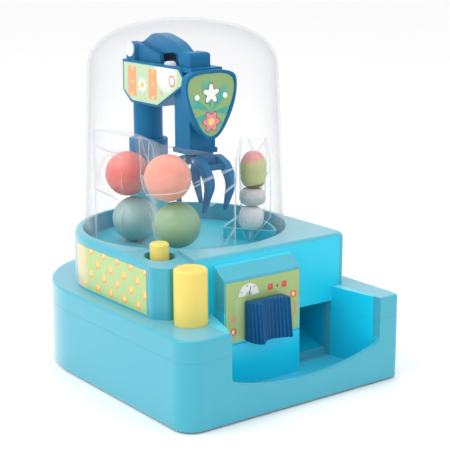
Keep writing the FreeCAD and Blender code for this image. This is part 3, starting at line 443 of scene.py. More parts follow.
@dataclass(frozen=True)
class Printed:
    """Glossy printed paper; art says which picture."""

    name: str
    art: Art

    def dress(self) -> bpy.types.Material:
        """Builds the material."""
        shader = Shader(self.name)
        draw = {Art.FLOWERS: self._flowers, Art.PANEL: self._panel, Art.CHEEK: self._cheek,
                Art.BADGE: self._badge}[self.art]
        colour = draw(shader, *shader.millimetres())
        ink = shader.noise(900, 2)
        return shader.principled({
            "Base Color": colour, "Roughness": 0.30 + ink * 0.08, "Coat Weight": 0.3,
            "Coat Roughness": 0.1, "Normal": shader.bump(ink, 0.006)})

    @staticmethod
    def _disc(a: Value, b: Value, centre: tuple[float, float], radius: Any,
              soft: float = 0.25) -> Value:
        """Mask of a disc in the plane of a and b."""
        distance = ((a - centre[0]) ** 2.0 + (b - centre[1]) ** 2.0) ** 0.5
        return distance.under(radius, soft)

    @staticmethod
    def _rectangle(a: Value, b: Value, centre: tuple[float, float], half: tuple[float, float],
                    soft: float = 0.25) -> Value:
        """Mask of an upright rectangle in the plane of a and b."""
        across = abs(a - centre[0]).under(half[0], soft)
        return across * abs(b - centre[1]).under(half[1], soft)

    @staticmethod
    def _petals(a: Value, b: Value, radius: float, depth: float, count: int,
                turn: float = 0.0) -> Value:
        """Mask of a flower about a = b = 0: the radius swings with the angle, count times round."""
        distance = (a * a + b * b) ** 0.5
        swing = (b.maths("ARCTAN2", a) * count + turn).maths("COSINE") * depth + radius
        return distance.under(swing, 0.3)

    @staticmethod
    def _inked(shader: Shader, colour: Value, *layers: tuple[Any, Any]) -> Value:
        """Colour under layers of (mask, ink), printed one over another."""
        for mask, ink in layers:
            colour = shader.mix(mask, colour, ink)
        return colour

    def _flowers(self, shader: Shader, x: Value, y: Value, z: Value) -> Value:
        """Green ground with staggered rows of orange flowers, fading towards the back."""
        ground = shader.mix(shader.noise(60, 3), paint(160, 200, 132), paint(184, 204, 140))
        pitch, lift = 15.0, 7.2
        row = ((z - 56.0) / lift).maths("FLOOR")
        shift = (row * 0.5).maths("FRACT") * pitch
        a = (y + shift) % pitch - pitch / 2
        b = (z - 56.0) % lift - lift / 2
        flower = self._petals(a, b, 2.9, 0.45, 5)
        petals = shader.mix((b * 0.2 + 0.5).clamped(), paint(232, 156, 62), paint(228, 196, 70))
        centre = self._petals(a, b, 1.25, 0.5, 5, math.pi)
        return self._inked(shader, ground, (flower, petals), (centre, paint(250, 214, 164)),
                           (1 - y.under(22.0, 7.0), paint(222, 206, 160)))

    def _panel(self, shader: Shader, x: Value, y: Value, z: Value) -> Value:
        """Green panel with a gauge, two square lamps, round marks and slider scales."""
        ground = shader.mix(shader.noise(45, 3), paint(150, 182, 108), paint(166, 190, 120))
        gauge = (-16.2, 63.8)
        upper = 1 - z.under(63.9, 0.3)
        ticks = abs((z - gauge[1]).maths("ARCTAN2", x - gauge[0]) * 7.0).maths("COSINE")
        scale = (self._disc(x, z, gauge, 6.8) - self._disc(x, z, gauge, 5.6)).clamped()
        needle = abs((x + 16.0) - (z - gauge[1]) * 0.22).under(0.35, 0.2)
        colour = self._inked(
            shader, ground,
            (self._rectangle(x, z, (-22.5, 50.0), (3.4, 13.0), 3.0), paint(182, 205, 142)),
            (self._disc(x, z, gauge, 7.4) * upper, paint(226, 228, 226)),
            (self._disc(x, z, gauge, 2.6) * upper, paint(170, 196, 175)),
            (scale * ticks.clamped() ** 6.0 * upper, paint(130, 150, 150)),
            (needle * self._rectangle(x, z, (-15.4, 66.6), (3, 2.7)), paint(70, 110, 110)))
        for middle in (-0.3, 10.1):
            lamp = self._rectangle(x, z, (middle, 66.3), (1.9, 1.9))
            glint = self._disc(x, z, (middle - 0.5, 66.9), 0.7, 0.5)
            colour = self._inked(shader, colour, (lamp, paint(214, 62, 50)),
                                 (lamp * glint * 0.5, paint(240, 130, 110)))
        colour = shader.mix(self._disc(x, z, (5.0, 66.2), 0.8), colour, paint(60, 84, 66))
        for centre in ((17.3, 58.8), (-27.6, 43.5)):
            arrow = (abs(x - centre[0]) + abs(z - centre[1] - 0.1) * 0.6).under(0.95, 0.3)
            mark = self._disc(x, z, centre, 2.5)
            colour = self._inked(shader, colour, (mark, paint(226, 108, 36)),
                                 (arrow, paint(255, 244, 226)))
        return self._inked(
            shader, colour,
            (self._rectangle(x, z, (18.4, 50.2), (0.7, 4.0)), paint(205, 140, 96)),
            (self._disc(x, z, (-27.6, 51.4), 2.0, 1.2), paint(214, 150, 110)))

    def _cheek(self, shader: Shader, x: Value, y: Value, z: Value) -> Value:
        """Pale green cheek with two orange bands, a daisy between them, and a white corner."""
        ground = shader.mix(shader.noise(50, 3), paint(182, 214, 176), paint(196, 218, 176))
        white = self._disc(y, z, (17.0, 184.5), 10.5, 6.0)
        colour = shader.mix(white, ground, paint(250, 250, 246))
        for middle, half in ((55.6, 4.9), (32.0, 4.7)):
            band = self._rectangle(y, z, (middle, 176.0), (half, 9.5), 0.5)
            spots = self._petals(y - middle, (z - 172.0) % 8.0 - 4.0, 1.2, 0.4, 5)
            colour = self._inked(shader, colour, (band, paint(240, 164, 112)),
                                 (band * spots, paint(255, 214, 150)))
        daisy = (44.0, 174.6)
        mark = (10.6, 180.0)
        ring = (self._disc(y, z, mark, 3.6) - self._disc(y, z, mark, 2.6)).clamped()
        return self._inked(
            shader, colour,
            (self._petals(y - daisy[0], z - daisy[1], 4.3, 0.9, 8), paint(252, 246, 230)),
            (self._disc(y, z, daisy, 1.8), paint(250, 196, 70)),
            (ring, paint(226, 92, 100)),
            (self._disc(y, z, (22.0, 171.7), 1.3), paint(250, 160, 150)))

    def _badge(self, shader: Shader, x: Value, y: Value, z: Value) -> Value:
        """Olive badge with teal rays, a white star above and a pink flower below."""
        angle = (z - 163.0).maths("ARCTAN2", x)
        rays = ((angle * 7.0).maths("COSINE") * 4.0 + 0.5).clamped()
        fade = self._disc(x, z, (0.0, 166.0), 15.0, 8.0)
        ground = shader.mix(shader.noise(50), paint(138, 174, 106), paint(152, 182, 118))
        star_z, flower_z = 174.0, 157.0
        white = paint(250, 250, 244)
        dots = [(self._disc(x, z, (middle, 172.4), 1.7), white) for middle in (-10.4, 10.4)]
        return self._inked(
            shader, ground, (rays * fade, paint(52, 170, 158)),
            (self._petals(x, z - star_z, 5.5, 1.5, 5, -math.pi / 2), paint(56, 92, 84)),
            (self._petals(x, z - star_z, 4.7, 1.5, 5, -math.pi / 2), white), *dots,
            (self._petals(x, z - flower_z, 5.9, 1.1, 6), paint(120, 66, 72)),
            (self._petals(x, z - flower_z, 5.3, 1.1, 6), paint(238, 142, 146)),
            (self._disc(x, z, (0.0, flower_z), 2.2), paint(252, 214, 120)))


# ---- meshes ----------------------------------------------------------------------------------
def span(node: str) -> tuple[np.ndarray, np.ndarray]:
    """Lowest and highest corner of a CAD node's box, millimetres."""
    low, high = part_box(node)
    return np.array(low) / MM, np.array(high) / MM


def full_turn(count: int) -> np.ndarray:
    """Angles of count even steps round a full turn."""
    return np.linspace(0, 2 * np.pi, count, endpoint=False)


def grid_faces(rows: int, columns: int, around: bool) -> np.ndarray:
    """Quads of a grid of points.

    Args:
        rows: points up the grid.
        columns: points along each row.
        around: whether the last column joins the first.

    Returns:
        One row of four point numbers for each face.
    """
    wide = columns if around else columns - 1
    row, column = np.meshgrid(np.arange(rows - 1), np.arange(wide), indexing="ij")
    after = (column + 1) % columns
    here, above = row * columns, (row + 1) * columns
    faces = [here + column, here + after, above + after, above + column]
    return np.stack([f.ravel() for f in faces], axis=1)


def piece(name: str, points: np.ndarray, faces: list[list[int]], material: bpy.types.Material,
          smooth: bool = True) -> bpy.types.Object:
    """Makes an object at the origin from points in millimetres.

    Args:
        name: the object's name.
        points: one row of three for each point.
        faces: the point numbers of each face.
        material: its finish.
        smooth: whether it is shaded smooth.

    Returns:
        The object.
    """
    mesh = bpy.data.meshes.new(name)
    mesh.from_pydata((points * MM).tolist(), [], faces)
    mesh.polygons.foreach_set("use_smooth", [smooth] * len(mesh.polygons))
    mesh.materials.append(material)
    mesh.update()
    made = bpy.data.objects.new(name, mesh)
    bpy.context.scene.collection.objects.link(made)
    return made


def closed_rings(name: str, rings: np.ndarray, material: bpy.types.Material) -> bpy.types.Object:
    """Makes a closed solid from rings that run anticlockwise seen from above, lowest first.

    Both ends are closed by a point in the middle of the end ring.

    Args:
        name: the object's name.
        rings: array of (rows, columns, 3), millimetres.
        material: its finish.

    Returns:
        The object.
    """
    rows, columns, _ = rings.shape
    points = np.concatenate([rings.reshape(-1, 3), rings[0].mean(0)[None], rings[-1].mean(0)[None]])
    side = grid_faces(rows, columns, True)
    here = np.arange(columns)
    after = (here + 1) % columns
    last = rows * columns
    low = np.stack([after, here, np.full(columns, last)], axis=1)
    top = last - columns
    high = np.stack([top + here, top + after, np.full(columns, last + 1)], axis=1)
    return piece(name, points, side.tolist() + low.tolist() + high.tolist(), material)


def lathe(name: str, axis: tuple[float, float], profile: Plan, material: bpy.types.Material,
          columns: int = 96, squeeze: Callable[[np.ndarray, np.ndarray], np.ndarray] | None = None,
          ) -> bpy.types.Object:
    """Turned solid: a profile of (radius, height) points carried round an upright axis.

    Args:
        name: the object's name.
        axis: x and y of the axis.
        profile: points from the bottom to the top.
        material: its finish.
        columns: points round the axis.
        squeeze: factor of the radius by angle and height, for a shape that isn't quite round.

    Returns:
        The object.
    """
    turn = full_turn(columns)
    radius, height = np.array(profile, float).T
    swing = radius[:, None] * np.ones_like(turn)
    if squeeze:
        swing = swing * squeeze(turn[None, :], height[:, None])
    rings = np.stack([axis[0] + swing * np.cos(turn), axis[1] + swing * np.sin(turn),
                      height[:, None] * np.ones_like(turn)], axis=2)
    return closed_rings(name, rings, material)


def rounded(points: Plan, radius: float, steps: int = 6) -> np.ndarray:
    """Points of a line whose corners are rounded.

    Each corner becomes a parabola between the two points radius away from it.

    Args:
        points: the line's corners.
        radius: how far before and after a corner the curve starts and ends.
        steps: points of each curve.

    Returns:
        One row of two for each point.
    """
    line = np.array(points, float)
    out = [line[:1]]
    share = np.linspace(0, 1, steps)[:, None]
    for before, here, after in zip(line[:-2], line[1:-1], line[2:]):
        first, last = (
            here + (far - here) * min(0.45, radius / max(1e-6, np.linalg.norm(far - here)))
            for far in (before, after))
        out.append((1 - share) ** 2 * first + 2 * share * (1 - share) * here + share ** 2 * last)
    return np.concatenate([*out, line[-1:]])


def evenly(line: np.ndarray, count: int) -> tuple[np.ndarray, np.ndarray]:
    """Points at even steps along a line.

    Args:
        line: one row for each point of the line.
        count: how many points are wanted.

    Returns:
        The points, and how far along the line each one is.
    """
    run = np.concatenate([[0], np.cumsum(np.linalg.norm(np.diff(line, axis=0), axis=1))])
    wanted = np.linspace(0, run[-1], count)
    found = [np.interp(wanted, run, line[:, k]) for k in range(line.shape[1])]
    return np.stack(found, axis=1), wanted


def ripple(seed: int, shape: tuple[int, int], waves: int, spread: float) -> np.ndarray:
    """Sum of straight ripples in random directions over a grid, about -1 to 1.

    Args:
        seed: fixes the directions, lengths and phases.
        shape: rows and columns of the grid.
        waves: how many ripples are added.
        spread: waves across the grid, at most.

    Returns:
        The heights.
    """
    chance = np.random.default_rng(seed)
    row, column = np.meshgrid(*(np.linspace(0, 1, count) for count in shape), indexing="ij")
    total = np.zeros(shape)
    for _ in range(waves):
        across, up = chance.uniform(-spread, spread), chance.uniform(-spread, spread)
        phase = chance.uniform(0, 6.28)
        wave = np.sin(2 * np.pi * (across * column + up * row) + phase)
        total += np.sign(wave) * np.abs(wave) ** 0.6 * chance.uniform(0.4, 1.0)
    return total / np.abs(total).max()


# ---- colours ---------------------------------------------------------------------------------
_coats: dict[str, bpy.types.Material] = {}


def coat(finish: Any) -> bpy.types.Material:
    """The finish's material, made once."""
    if finish.name not in _coats:
        _coats[finish.name] = finish.dress()
    return _coats[finish.name]


# the shells carry a painted bounce tone inside the tray, set by pocket= below
SHELL = ShellPlastic("cyan shell painted tray bounce", paint(62, 172, 194), 0.30, 0.0, 0.03, 0.6, 0.5, 0.9,
                     painted_bounce_tone=paint(0, 206, 236))
# painted bounce light and shade: the chute is the shell's cyan, coloured deeper and purer for the
# light bounced round its passage
CHUTE_PAINTED_BOUNCE = Moulded("cyan chute painted bounce", paint(0, 190, 222), 0.36, 0.0, 0.03, 0.4, 0.2)
CYAN_FLOOR = Moulded("teal floor", paint(44, 200, 220), 0.34, 0.0, 0.04, 0.5, 0.4, 0.3)
CRANE_BLUE = Moulded("crane blue", paint(0, 110, 158), 0.34, 0.0, 0.05, 0.5, 0.15)
KNOB_BLUE = Moulded("knob blue", paint(0, 84, 134), 0.34, 0.0, 0.05, 0.1, 0.25)
YELLOW = Moulded("button yellow", paint(236, 212, 112), 0.36, 0.0, 0.03, 0.3)
WHITE = Moulded("white plastic", paint(228, 232, 236), 0.34, 0.0, 0.02, 0.3)
STEEL = Metal("bright steel", (0.62, 0.63, 0.65))
FOOT_RUBBER = Rubber("foot rubber", (0.03, 0.032, 0.035))
DOME_CLEAR = Clear("clear dome", (0.988, 0.990, 0.992), 0.007, 0.55, 3.8, 0.05,
                   skin=(0.52, 0.54, 0.58))
# True turns on the painted crease highlights and the milky seal edges of the film
FILM_CLEAR = Clear("clear film", (0.98, 0.985, 0.99), 0.015, 0.38, 2.6, 0.14, 0.25, True)

CARRIED: dict[str, tuple[Any, tuple[str, ...]]] = {
    "shells": (SHELL, ("base_shell", "top_shell", "control_box")),
    "chute": (CHUTE_PAINTED_BOUNCE, ("prize_chute",)),
    "floor": (CYAN_FLOOR, ("play_floor",)),
    "crane": (CRANE_BLUE, ("column_collar", "crane_post", "head_left", "head_right", "shield",
                           "rocker_lever", "claw_plunger", "grip_slider", "jaw_front", "jaw_rear")),
    "white parts": (WHITE, ("rocker_caps", "guide_roller", "swivel_crank", "slider_link",
                            "drop_lever", "grip_lever")),
    "metal": (STEEL, ("case_screws", "lever_pins", "post_retainer", "rocker_pin", "drop_rod",
                      "grip_rod", "jaw_pins")),
    "feet": (FOOT_RUBBER, ("rubber_feet",)),
    "dome": (DOME_CLEAR, ("dome",)),
    "side label": (Printed("side label print", Art.FLOWERS), ("side_label",)),
    "panel": (Printed("panel print", Art.PANEL), ("control_label",)),
    "cheeks": (Printed("cheek print", Art.CHEEK), ("head_label_left", "head_label_right")),
    "badge": (Printed("badge print", Art.BADGE), ("shield_label",)),
}


@dataclass
class CarriedParts:
    """The CAD pieces whose shape stays: they only get their finishes."""

    finishes: dict[str, tuple[Any, tuple[str, ...]]]

    def build(self) -> list[bpy.types.Object]:
        """Dresses every piece and returns them."""
        done = []
        for finish, nodes in self.finishes.values():
            material = finish.dress()
            for node in nodes:
                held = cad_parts[node]
                held.data.materials.clear()
                held.data.materials.append(material)
                done.append(held)
        return done


# ---- controls --------------------------------------------------------------------------------
@dataclass
class Buttons:
    """The two push buttons, turned in one piece each, with a dished or domed top."""

    rim: float = 1.9
    stem: float = 2.0

    def _button(self, name: str, node: str, cap_low: float, dish: float,
                waist: float) -> bpy.types.Object:
        """Turns one button inside its CAD solid's box.

        Args:
            name: the new piece's name.
            node: the CAD node that it stands for.
            cap_low: height where the cap starts, over the collar.
            dish: how deep the middle of the top is pressed in.
            waist: how much narrower the guided part is than the collar.

        Returns:
            The button.
        """
        low, high = span(node)
        x, y = (low[:2] + high[:2]) / 2
        wide = (high[0] - low[0]) / 2
        cap = wide - waist
        top = high[2]
        turn = np.linspace(0, np.pi / 2, 9)
        edge = [(cap - self.rim + self.rim * math.cos(t), top - self.rim + self.rim * math.sin(t))
                for t in turn]
        inner = cap - self.rim - 1.1
        floor = [(inner * f, top - dish * (1 - f ** 4) ** 1.5)
                 for f in (1.0, 0.94, 0.85, 0.7, 0.5, 0.3, 0.12)]
        stem_top = cap_low - 2.2
        profile = [(self.stem * 0.8, low[2]), (self.stem, low[2] + 0.4), (self.stem, stem_top),
                   (wide - 0.3, stem_top + 0.05), (wide, stem_top + 0.35), (wide, cap_low - 0.3),
                   (wide - 0.3, cap_low), (cap + 0.02, cap_low + 0.05), (cap, cap_low + 0.3),
                   *edge, *floor]
        button = lathe(name, (x, y), profile, coat(YELLOW), 128)
        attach(button, "tall_button" if node == "drop_button" else "small_button")
        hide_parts(node)
        return button

    def build(self) -> list[bpy.types.Object]:
        """Makes both buttons."""
        return [self._button("drop_button_cap", "drop_button", 35.6, 0.5, 1.6),
                self._button("grip_button_cap", "grip_button", 65.6, 0.0, 0.5)]


@dataclass
class RibbedKnob:
    """Slider knob: a finger ridge on the left, a hollow beside it, and ribs all round the front."""

    rib_pitch: float = 2.3
    rib_depth: float = 0.75
    lean: float = 2.6
    edge: float = 0.9
    back: float = -72.6
    stem_height: float = 49.5

    def build(self) -> list[bpy.types.Object]:
        """Makes the knob: a ribbed plan outline carried up, drawn in at its ends and leant over."""
        low, high = span("slider_knob")
        left, right, front = low[0], high[0], low[1]
        corners = [(left + 4, self.back), (left, self.back),
                   (left + 0.2, front + 4.2), (left + 3.9, front + 0.1),
                   (left + 6.6, front + 0.9), (left + 9.6, front + 3.7), (left + 15.5, front + 4.4),
                   (left + 22.5, front + 2.7), (right - 0.3, front + 1.0), (right, front + 2.6),
                   (right, self.back), (right - 4, self.back), (left + 4, self.back)]
        outline, run = evenly(rounded(corners, 2.4), 420)
        outline, run = outline[:-1], run[:-1]
        ahead = np.roll(outline, -1, 0) - np.roll(outline, 1, 0)
        outward = np.stack([ahead[:, 1], -ahead[:, 0]], axis=1)
        outward = outward / np.linalg.norm(ahead, axis=1)[:, None]
        if ((outline - outline.mean(0)) * outward).sum() < 0:
            outward = -outward
        frontal = np.clip((self.back - 2.0 - outline[:, 1]) / 1.5, 0, 1)
        wave = 0.5 - 0.5 * np.cos(2 * np.pi * run / self.rib_pitch)
        groove = self.rib_depth * wave ** 1.6 * frontal
        height = high[2] - low[2]
        turn = np.linspace(0, np.pi / 2, 6)
        rise = np.concatenate([self.edge * (1 - np.sin(turn[::-1])), [height / 2],
                               height - self.edge * (1 - np.sin(turn))])
        draw = np.concatenate([self.edge * (1 - np.cos(turn[::-1])), [0],
                               self.edge * (1 - np.cos(turn))])
        inward = groove[None, :] * (draw < self.edge * 0.95)[:, None] + draw[:, None]
        plan = outline[None] - outward[None] * inward[:, :, None]
        share = (1 - rise / height)[:, None] * np.clip((self.back - 2.0 - plan[:, :, 1]) / 8, 0, 1)
        plan[:, :, 1] -= self.lean * share * 1.2
        plan[:, :, 1] = np.minimum(plan[:, :, 1], self.back)
        level = np.broadcast_to((low[2] + rise)[:, None, None], (*plan.shape[:2], 1))
        rings = np.concatenate([plan, level], axis=2)
        if np.cross(ahead[10], outline[11] - outline.mean(0)) > 0:
            rings = rings[:, ::-1]
        knob = closed_rings("slider_knob_grip", rings, coat(KNOB_BLUE))
        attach(knob, "knob")
        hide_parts("slider_knob")
        stem = self._stem(low, high)
        return [knob, stem]

    def _stem(self, low: np.ndarray, high: np.ndarray) -> bpy.types.Object:
        """Oval stem from the knob's back to the plate behind the slot."""
        middle = (low[0] + high[0]) / 2
        turn = full_turn(48)
        across = np.sign(np.cos(turn)) * np.abs(np.cos(turn)) ** 0.4 * 2.9
        up = np.sign(np.sin(turn)) * np.abs(np.sin(turn)) ** 0.4 * 3.4
        depth = np.array([high[1], self.back + 0.3, self.back - 1.0])[:, None]
        along = np.ones_like(depth)
        rings = np.stack([middle + across * along, depth * np.ones_like(turn),
                          self.stem_height + up * along], axis=2)
        stem = closed_rings("slider_knob_stem", rings, coat(KNOB_BLUE))
        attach(stem, "knob")
        return stem


@dataclass
class Coils:
    """The wound springs under the levers."""

    wire: float = 0.55
    turns: float = 7.0

    def _coil(self, name: str, node: str) -> bpy.types.Object:
        """Winds one spring: a wire circle carried along a helix with flattened ends.

        Args:
            name: the new piece's name.
            node: the CAD node that it stands for.

        Returns:
            The spring.
        """
        low, high = span(node)
        x, y = (low[:2] + high[:2]) / 2
        radius = (high[0] - low[0]) / 2 - self.wire
        share = np.linspace(0, 1, 420)
        turn = 2 * np.pi * self.turns * share
        rise = np.interp(share, [0, 0.11, 0.89, 1], [0, 0.05, 0.95, 1])
        bottom, top = low[2] + self.wire, high[2] - self.wire
        line = np.stack([x + radius * np.cos(turn), y + radius * np.sin(turn),
                         bottom + (top - bottom) * rise], 1)
        round_wire = full_turn(10)
        out = np.stack([np.cos(turn), np.sin(turn), np.zeros_like(turn)], 1)
        sideways = np.cos(round_wire)[None, :, None] * out[:, None]
        upright = np.sin(round_wire)[None, :, None] * np.array([0, 0, 1.0])
        rings = line[:, None] + self.wire * (sideways + upright)
        spring = closed_rings(name, rings[:, ::-1], coat(STEEL))
        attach(spring, "base")
        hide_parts(node)
        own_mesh(spring)
        return spring

    def build(self) -> list[bpy.types.Object]:
        """Winds both springs."""
        return [self._coil("drop_spring_coil", "drop_spring"),
                self._coil("grip_spring_coil", "grip_spring")]


# ---- prizes ----------------------------------------------------------------------------------
@dataclass
class Balls:
    """Four hollow prize balls, each of two halves with a fine seam."""

    seam: float = 0.05
    tones: tuple[tuple[str, Rgb, Rgb], ...] = (
        ("coral", paint(248, 158, 148), paint(234, 116, 110)),
        ("grey", paint(176, 204, 198), paint(142, 178, 176)),
        ("peach", paint(250, 184, 160), paint(238, 150, 132)),
        ("green", paint(164, 198, 160), paint(130, 168, 126)),
    )

    def build(self) -> list[bpy.types.Object]:
        """Makes the balls: circles of latitude, drawn in a little at the seam."""
        made = []
        for number, (tone, light, deep) in enumerate(self.tones):
            node = f"prize_ball_{tone}"
            low, high = span(node)
            centre = (low + high) / 2
            radius = (high[2] - low[2]) / 2
            steep = np.linspace(-np.pi / 2, np.pi / 2, 65)[1:-1]
            dip = self.seam * np.exp(-(steep / 0.02) ** 2)
            turn = full_turn(128)
            flat = (radius - dip) * np.cos(steep)
            local = np.stack([flat[:, None] * np.cos(turn), flat[:, None] * np.sin(turn),
                              (radius * np.sin(steep))[:, None] * np.ones_like(turn)], axis=2)
            tilt, swing = 0.5 + 0.6 * number, 1.3 * number
            c, s = math.cos(tilt), math.sin(tilt)
            lean = np.array([[1, 0, 0], [0, c, -s], [0, s, c]])
            c, s = math.cos(swing), math.sin(swing)
            spin = np.array([[c, -s, 0], [s, c, 0], [0, 0, 1]])
            ball = closed_rings(f"ball_{tone}", local @ (spin @ lean).T + centre,
                                BallPlastic(f"{tone} ball", light, deep).dress())
            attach(ball, "base")
            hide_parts(node)
            made.append(ball)
        return made


@dataclass
class SmallPrizes:
    """The soft prizes of the second pouch: a tall dumpling on two squat buns."""

    def _soft(self, node: str, slot: str, material: bpy.types.Material, squareness: float,
              pleats: tuple[int, float], pinch: float) -> bpy.types.Object:
        """One squeezy prize in its CAD solid's box: an ellipse of turning with pleats near the top.

        Args:
            node: the CAD node that it stands for.
            slot: not used.
            material: its finish.
            squareness: 1 is an ellipsoid, less is boxier.
            pleats: how many folds run up it, and how deep they are as a share.
            pinch: how much the top is drawn in.

        Returns:
            The prize.
        """
        low, high = span(node)
        x, y = (low[:2] + high[:2]) / 2
        wide, tall = (high[0] - low[0]) / 2, (high[2] - low[2]) / 2
        steep = np.linspace(-np.pi / 2, np.pi / 2, 60)[1:-1]
        share = np.sin(steep)
        radius = wide * np.cos(steep) ** squareness * (1 - pinch * np.clip(share, 0, 1) ** 2)
        lift = np.sign(share) * np.abs(share) ** (squareness ** 0.3)
        height = (low[2] + high[2]) / 2 + tall * lift
        count, depth = pleats

        def folds(turn: np.ndarray, z: np.ndarray) -> np.ndarray:
            """Radius factor: shallow grooves that deepen towards the top."""
            upward = np.clip((z - low[2]) / (high[2] - low[2]), 0, 1)
            return 1 - depth * upward * (0.5 + 0.5 * np.cos(turn * count + upward * 0.8)) ** 3

        prize = lathe(f"{node}_soft", (x, y), list(zip(radius, height)), material, 120, folds)
        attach(prize, "base")
        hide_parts(node)
        return prize

    def build(self) -> list[bpy.types.Object]:
        """Makes the three prizes."""
        low, high = (corner[2] for corner in span("prize_dumpling"))
        dumpling = Squeezy("dumpling skin", (
            (0, paint(128, 104, 70)), (low + 1.8, paint(206, 206, 140)),
            (high - 5.6, paint(238, 166, 160))),
            tilt=0.16, foot=(37.8, -6.6))
        white = Squeezy("white bun skin", ((0, paint(232, 228, 226)), (90.0, paint(240, 238, 236))))
        grey = Squeezy("grey bun skin", ((0, paint(206, 208, 206)), (105.0, paint(222, 220, 216))))
        return [self._soft("prize_dumpling", "dumpling", dumpling.dress(), 0.42, (6, 0.05), 0.36),
                self._soft("prize_bun_grey", "bun_grey", grey.dress(), 0.50, (2, 0.05), 0.0),
                self._soft("prize_bun_white", "bun_white", white.dress(), 0.62, (9, 0.03), 0.05)]


@dataclass
class FilmPouch:
    """Clear pouch of thin film: two panels drawn tight over what it holds, sealed all round."""

    name: str
    node: str
    route: Plan
    low: float
    high: float
    held: tuple[tuple[float, float, float, float], ...]
    seed: int
    creases: tuple[tuple[float, float, float, float], ...]
    wrinkle: float = 1.3
    slack: float = 1.6
    gather: tuple[float, float] | None = None
    girth: tuple[tuple[float, float], ...] = ((0.0, 1.0), (1.0, 1.0))
    top_drop: float = 0.0
    columns: int = 220
    rows: int = 150
    passes: int = 260

    def _reach(self, side: float, path: np.ndarray, run: np.ndarray, across: np.ndarray,
               z: np.ndarray) -> np.ndarray:
        """How far the held things reach out on one side of the route, for every run and height."""
        reach = np.full((len(z), len(run)), -9.0)
        for x, y, up, radius in self.held:
            nearest = np.argmin(np.hypot(path[:, 0] - x, path[:, 1] - y))
            aside = ((np.array([x, y]) - path[nearest]) * across[nearest]).sum()
            square = (radius + 0.35) ** 2 - (run[None] - run[nearest]) ** 2 - (z[:, None] - up) ** 2
            bulge = side * aside + np.sqrt(np.clip(square, 0, None))
            reach = np.where(square > 0, np.maximum(reach, bulge), reach)
        return reach

    def _tighten(self, reach: np.ndarray, slack: float) -> np.ndarray:
        """Film drawn over its contents: free points settle at the mean of their neighbours."""
        film = np.maximum(reach, slack)
        for _ in range(self.passes):
            mean = film.copy()
            mean[1:-1, 1:-1] = (film[2:, 1:-1] + film[:-2, 1:-1]
                                + film[1:-1, 2:] + film[1:-1, :-2]) / 4
            mean[0], mean[-1], mean[:, 0], mean[:, -1] = film[0] * 0.6, 0.15, 0.15, 0.15
            film = np.maximum(mean, reach)
        return film

    def _drawn(self, run: np.ndarray, z: np.ndarray) -> np.ndarray:
        """Strength of the sharp creases on a panel, lines between (share, height) points."""
        lines = np.zeros((len(z), len(run)))
        for first, low, last, high in self.creases:
            start = np.array([first * run[-1], low])
            step = np.array([last * run[-1], high]) - start
            offset = np.stack(
                np.broadcast_arrays(run[None] - start[0], z[:, None] - start[1]), axis=2)
            share = np.clip(offset @ step / (step @ step), 0, 1)
            away = np.linalg.norm(offset - share[..., None] * step, axis=2)
            lines = np.maximum(lines, np.clip(1.3 - away / 0.5, 0, 1))
        return lines

    def build(self) -> bpy.types.Object:
        """Makes the pouch as one closed skin and marks its creases, bends and seals; the finish
        paints the creases and bends as highlights.
        """
        path, run = evenly(rounded(self.route, 14.0, 12), self.columns)
        ahead = np.gradient(path, axis=0)
        across = np.stack([-ahead[:, 1], ahead[:, 0]], axis=1)
        across = across / np.linalg.norm(ahead, axis=1)[:, None]
        z = np.linspace(self.low, self.high, self.rows)
        sharp = self._drawn(run, z)
        inwards = np.minimum(run, run[-1] - run)
        seal = np.clip(1.4 - inwards / 0.9, 0, 1)[None] * 0.8
        edge = np.clip(inwards / 5.0, 0, 1)[None] * np.clip((self.high - z) / 6, 0, 1)[:, None]
        panels = []
        marks = []
        for number, side in enumerate((1.0, -1.0)):
            reach = self._reach(side, path, run, across, z)
            film = self._tighten(reach, self.slack)
            fold = ripple(self.seed + number, film.shape, 9, 6.0)
            free = np.clip((film - reach) / 2.5, 0, 1)
            film = film + self.wrinkle * fold * free * edge
            film = np.maximum(film, reach + 0.05) + 0.25 * sharp * edge
            bend = np.abs(np.gradient(np.gradient(film, axis=0), axis=0)) + np.abs(
                np.gradient(np.gradient(film, axis=1), axis=1))
            panels.append(path[None] + across[None] * (side * film)[:, :, None])
            # painted highlight: sharp bends of the film are marked to be drawn bright, like the
            # creases
            soft = np.clip((bend - 0.12) * 5.0, 0, 0.8) * (0.2 + 0.8 * free)
            marks.append(np.maximum(soft, np.maximum(sharp, seal)))
        rise = (z - self.low) / (self.high - self.low)
        height = z[:, None] - self.top_drop * rise[:, None] ** 2 * run[None] / run[-1]
        girth = np.interp(rise, *np.array(self.girth).T)[:, None, None]
        middle = path.mean(0)
        panels = [middle + (panel - middle) * girth for panel in panels]
        if self.gather:
            self._draw_in(panels, z)
        front = np.concatenate([panels[0], height[:, :, None]], axis=2)
        back = np.concatenate([panels[1], height[:, :, None]], axis=2)[:, ::-1]
        rings = np.concatenate([front, back], axis=1)[:, ::-1]
        # marks of creases and bends for painted highlights, and of seal edges
        crease_and_highlight = np.concatenate([marks[0], marks[1][:, ::-1]], axis=1)[:, ::-1]
        pouch = closed_rings(self.name, rings, coat(FILM_CLEAR))
        values = np.concatenate([crease_and_highlight.ravel(), [0.0, 0.0]]).astype(np.float32)
        pouch.data.attributes.new("crease_and_highlight", "FLOAT", "POINT").data.foreach_set("value", values)
        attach(pouch, "base")
        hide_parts(self.node)
        return pouch

    def _draw_in(self, panels: list[np.ndarray], z: np.ndarray) -> None:
        """Gathers the panels' lower part to a point on the floor."""
        share = np.clip((z - self.low) / 15.0, 0, 1)[:, None, None] ** 0.8
        for k, panel in enumerate(panels):
            panels[k] = np.array(self.gather)[None, None] * (1 - share) + panel * share


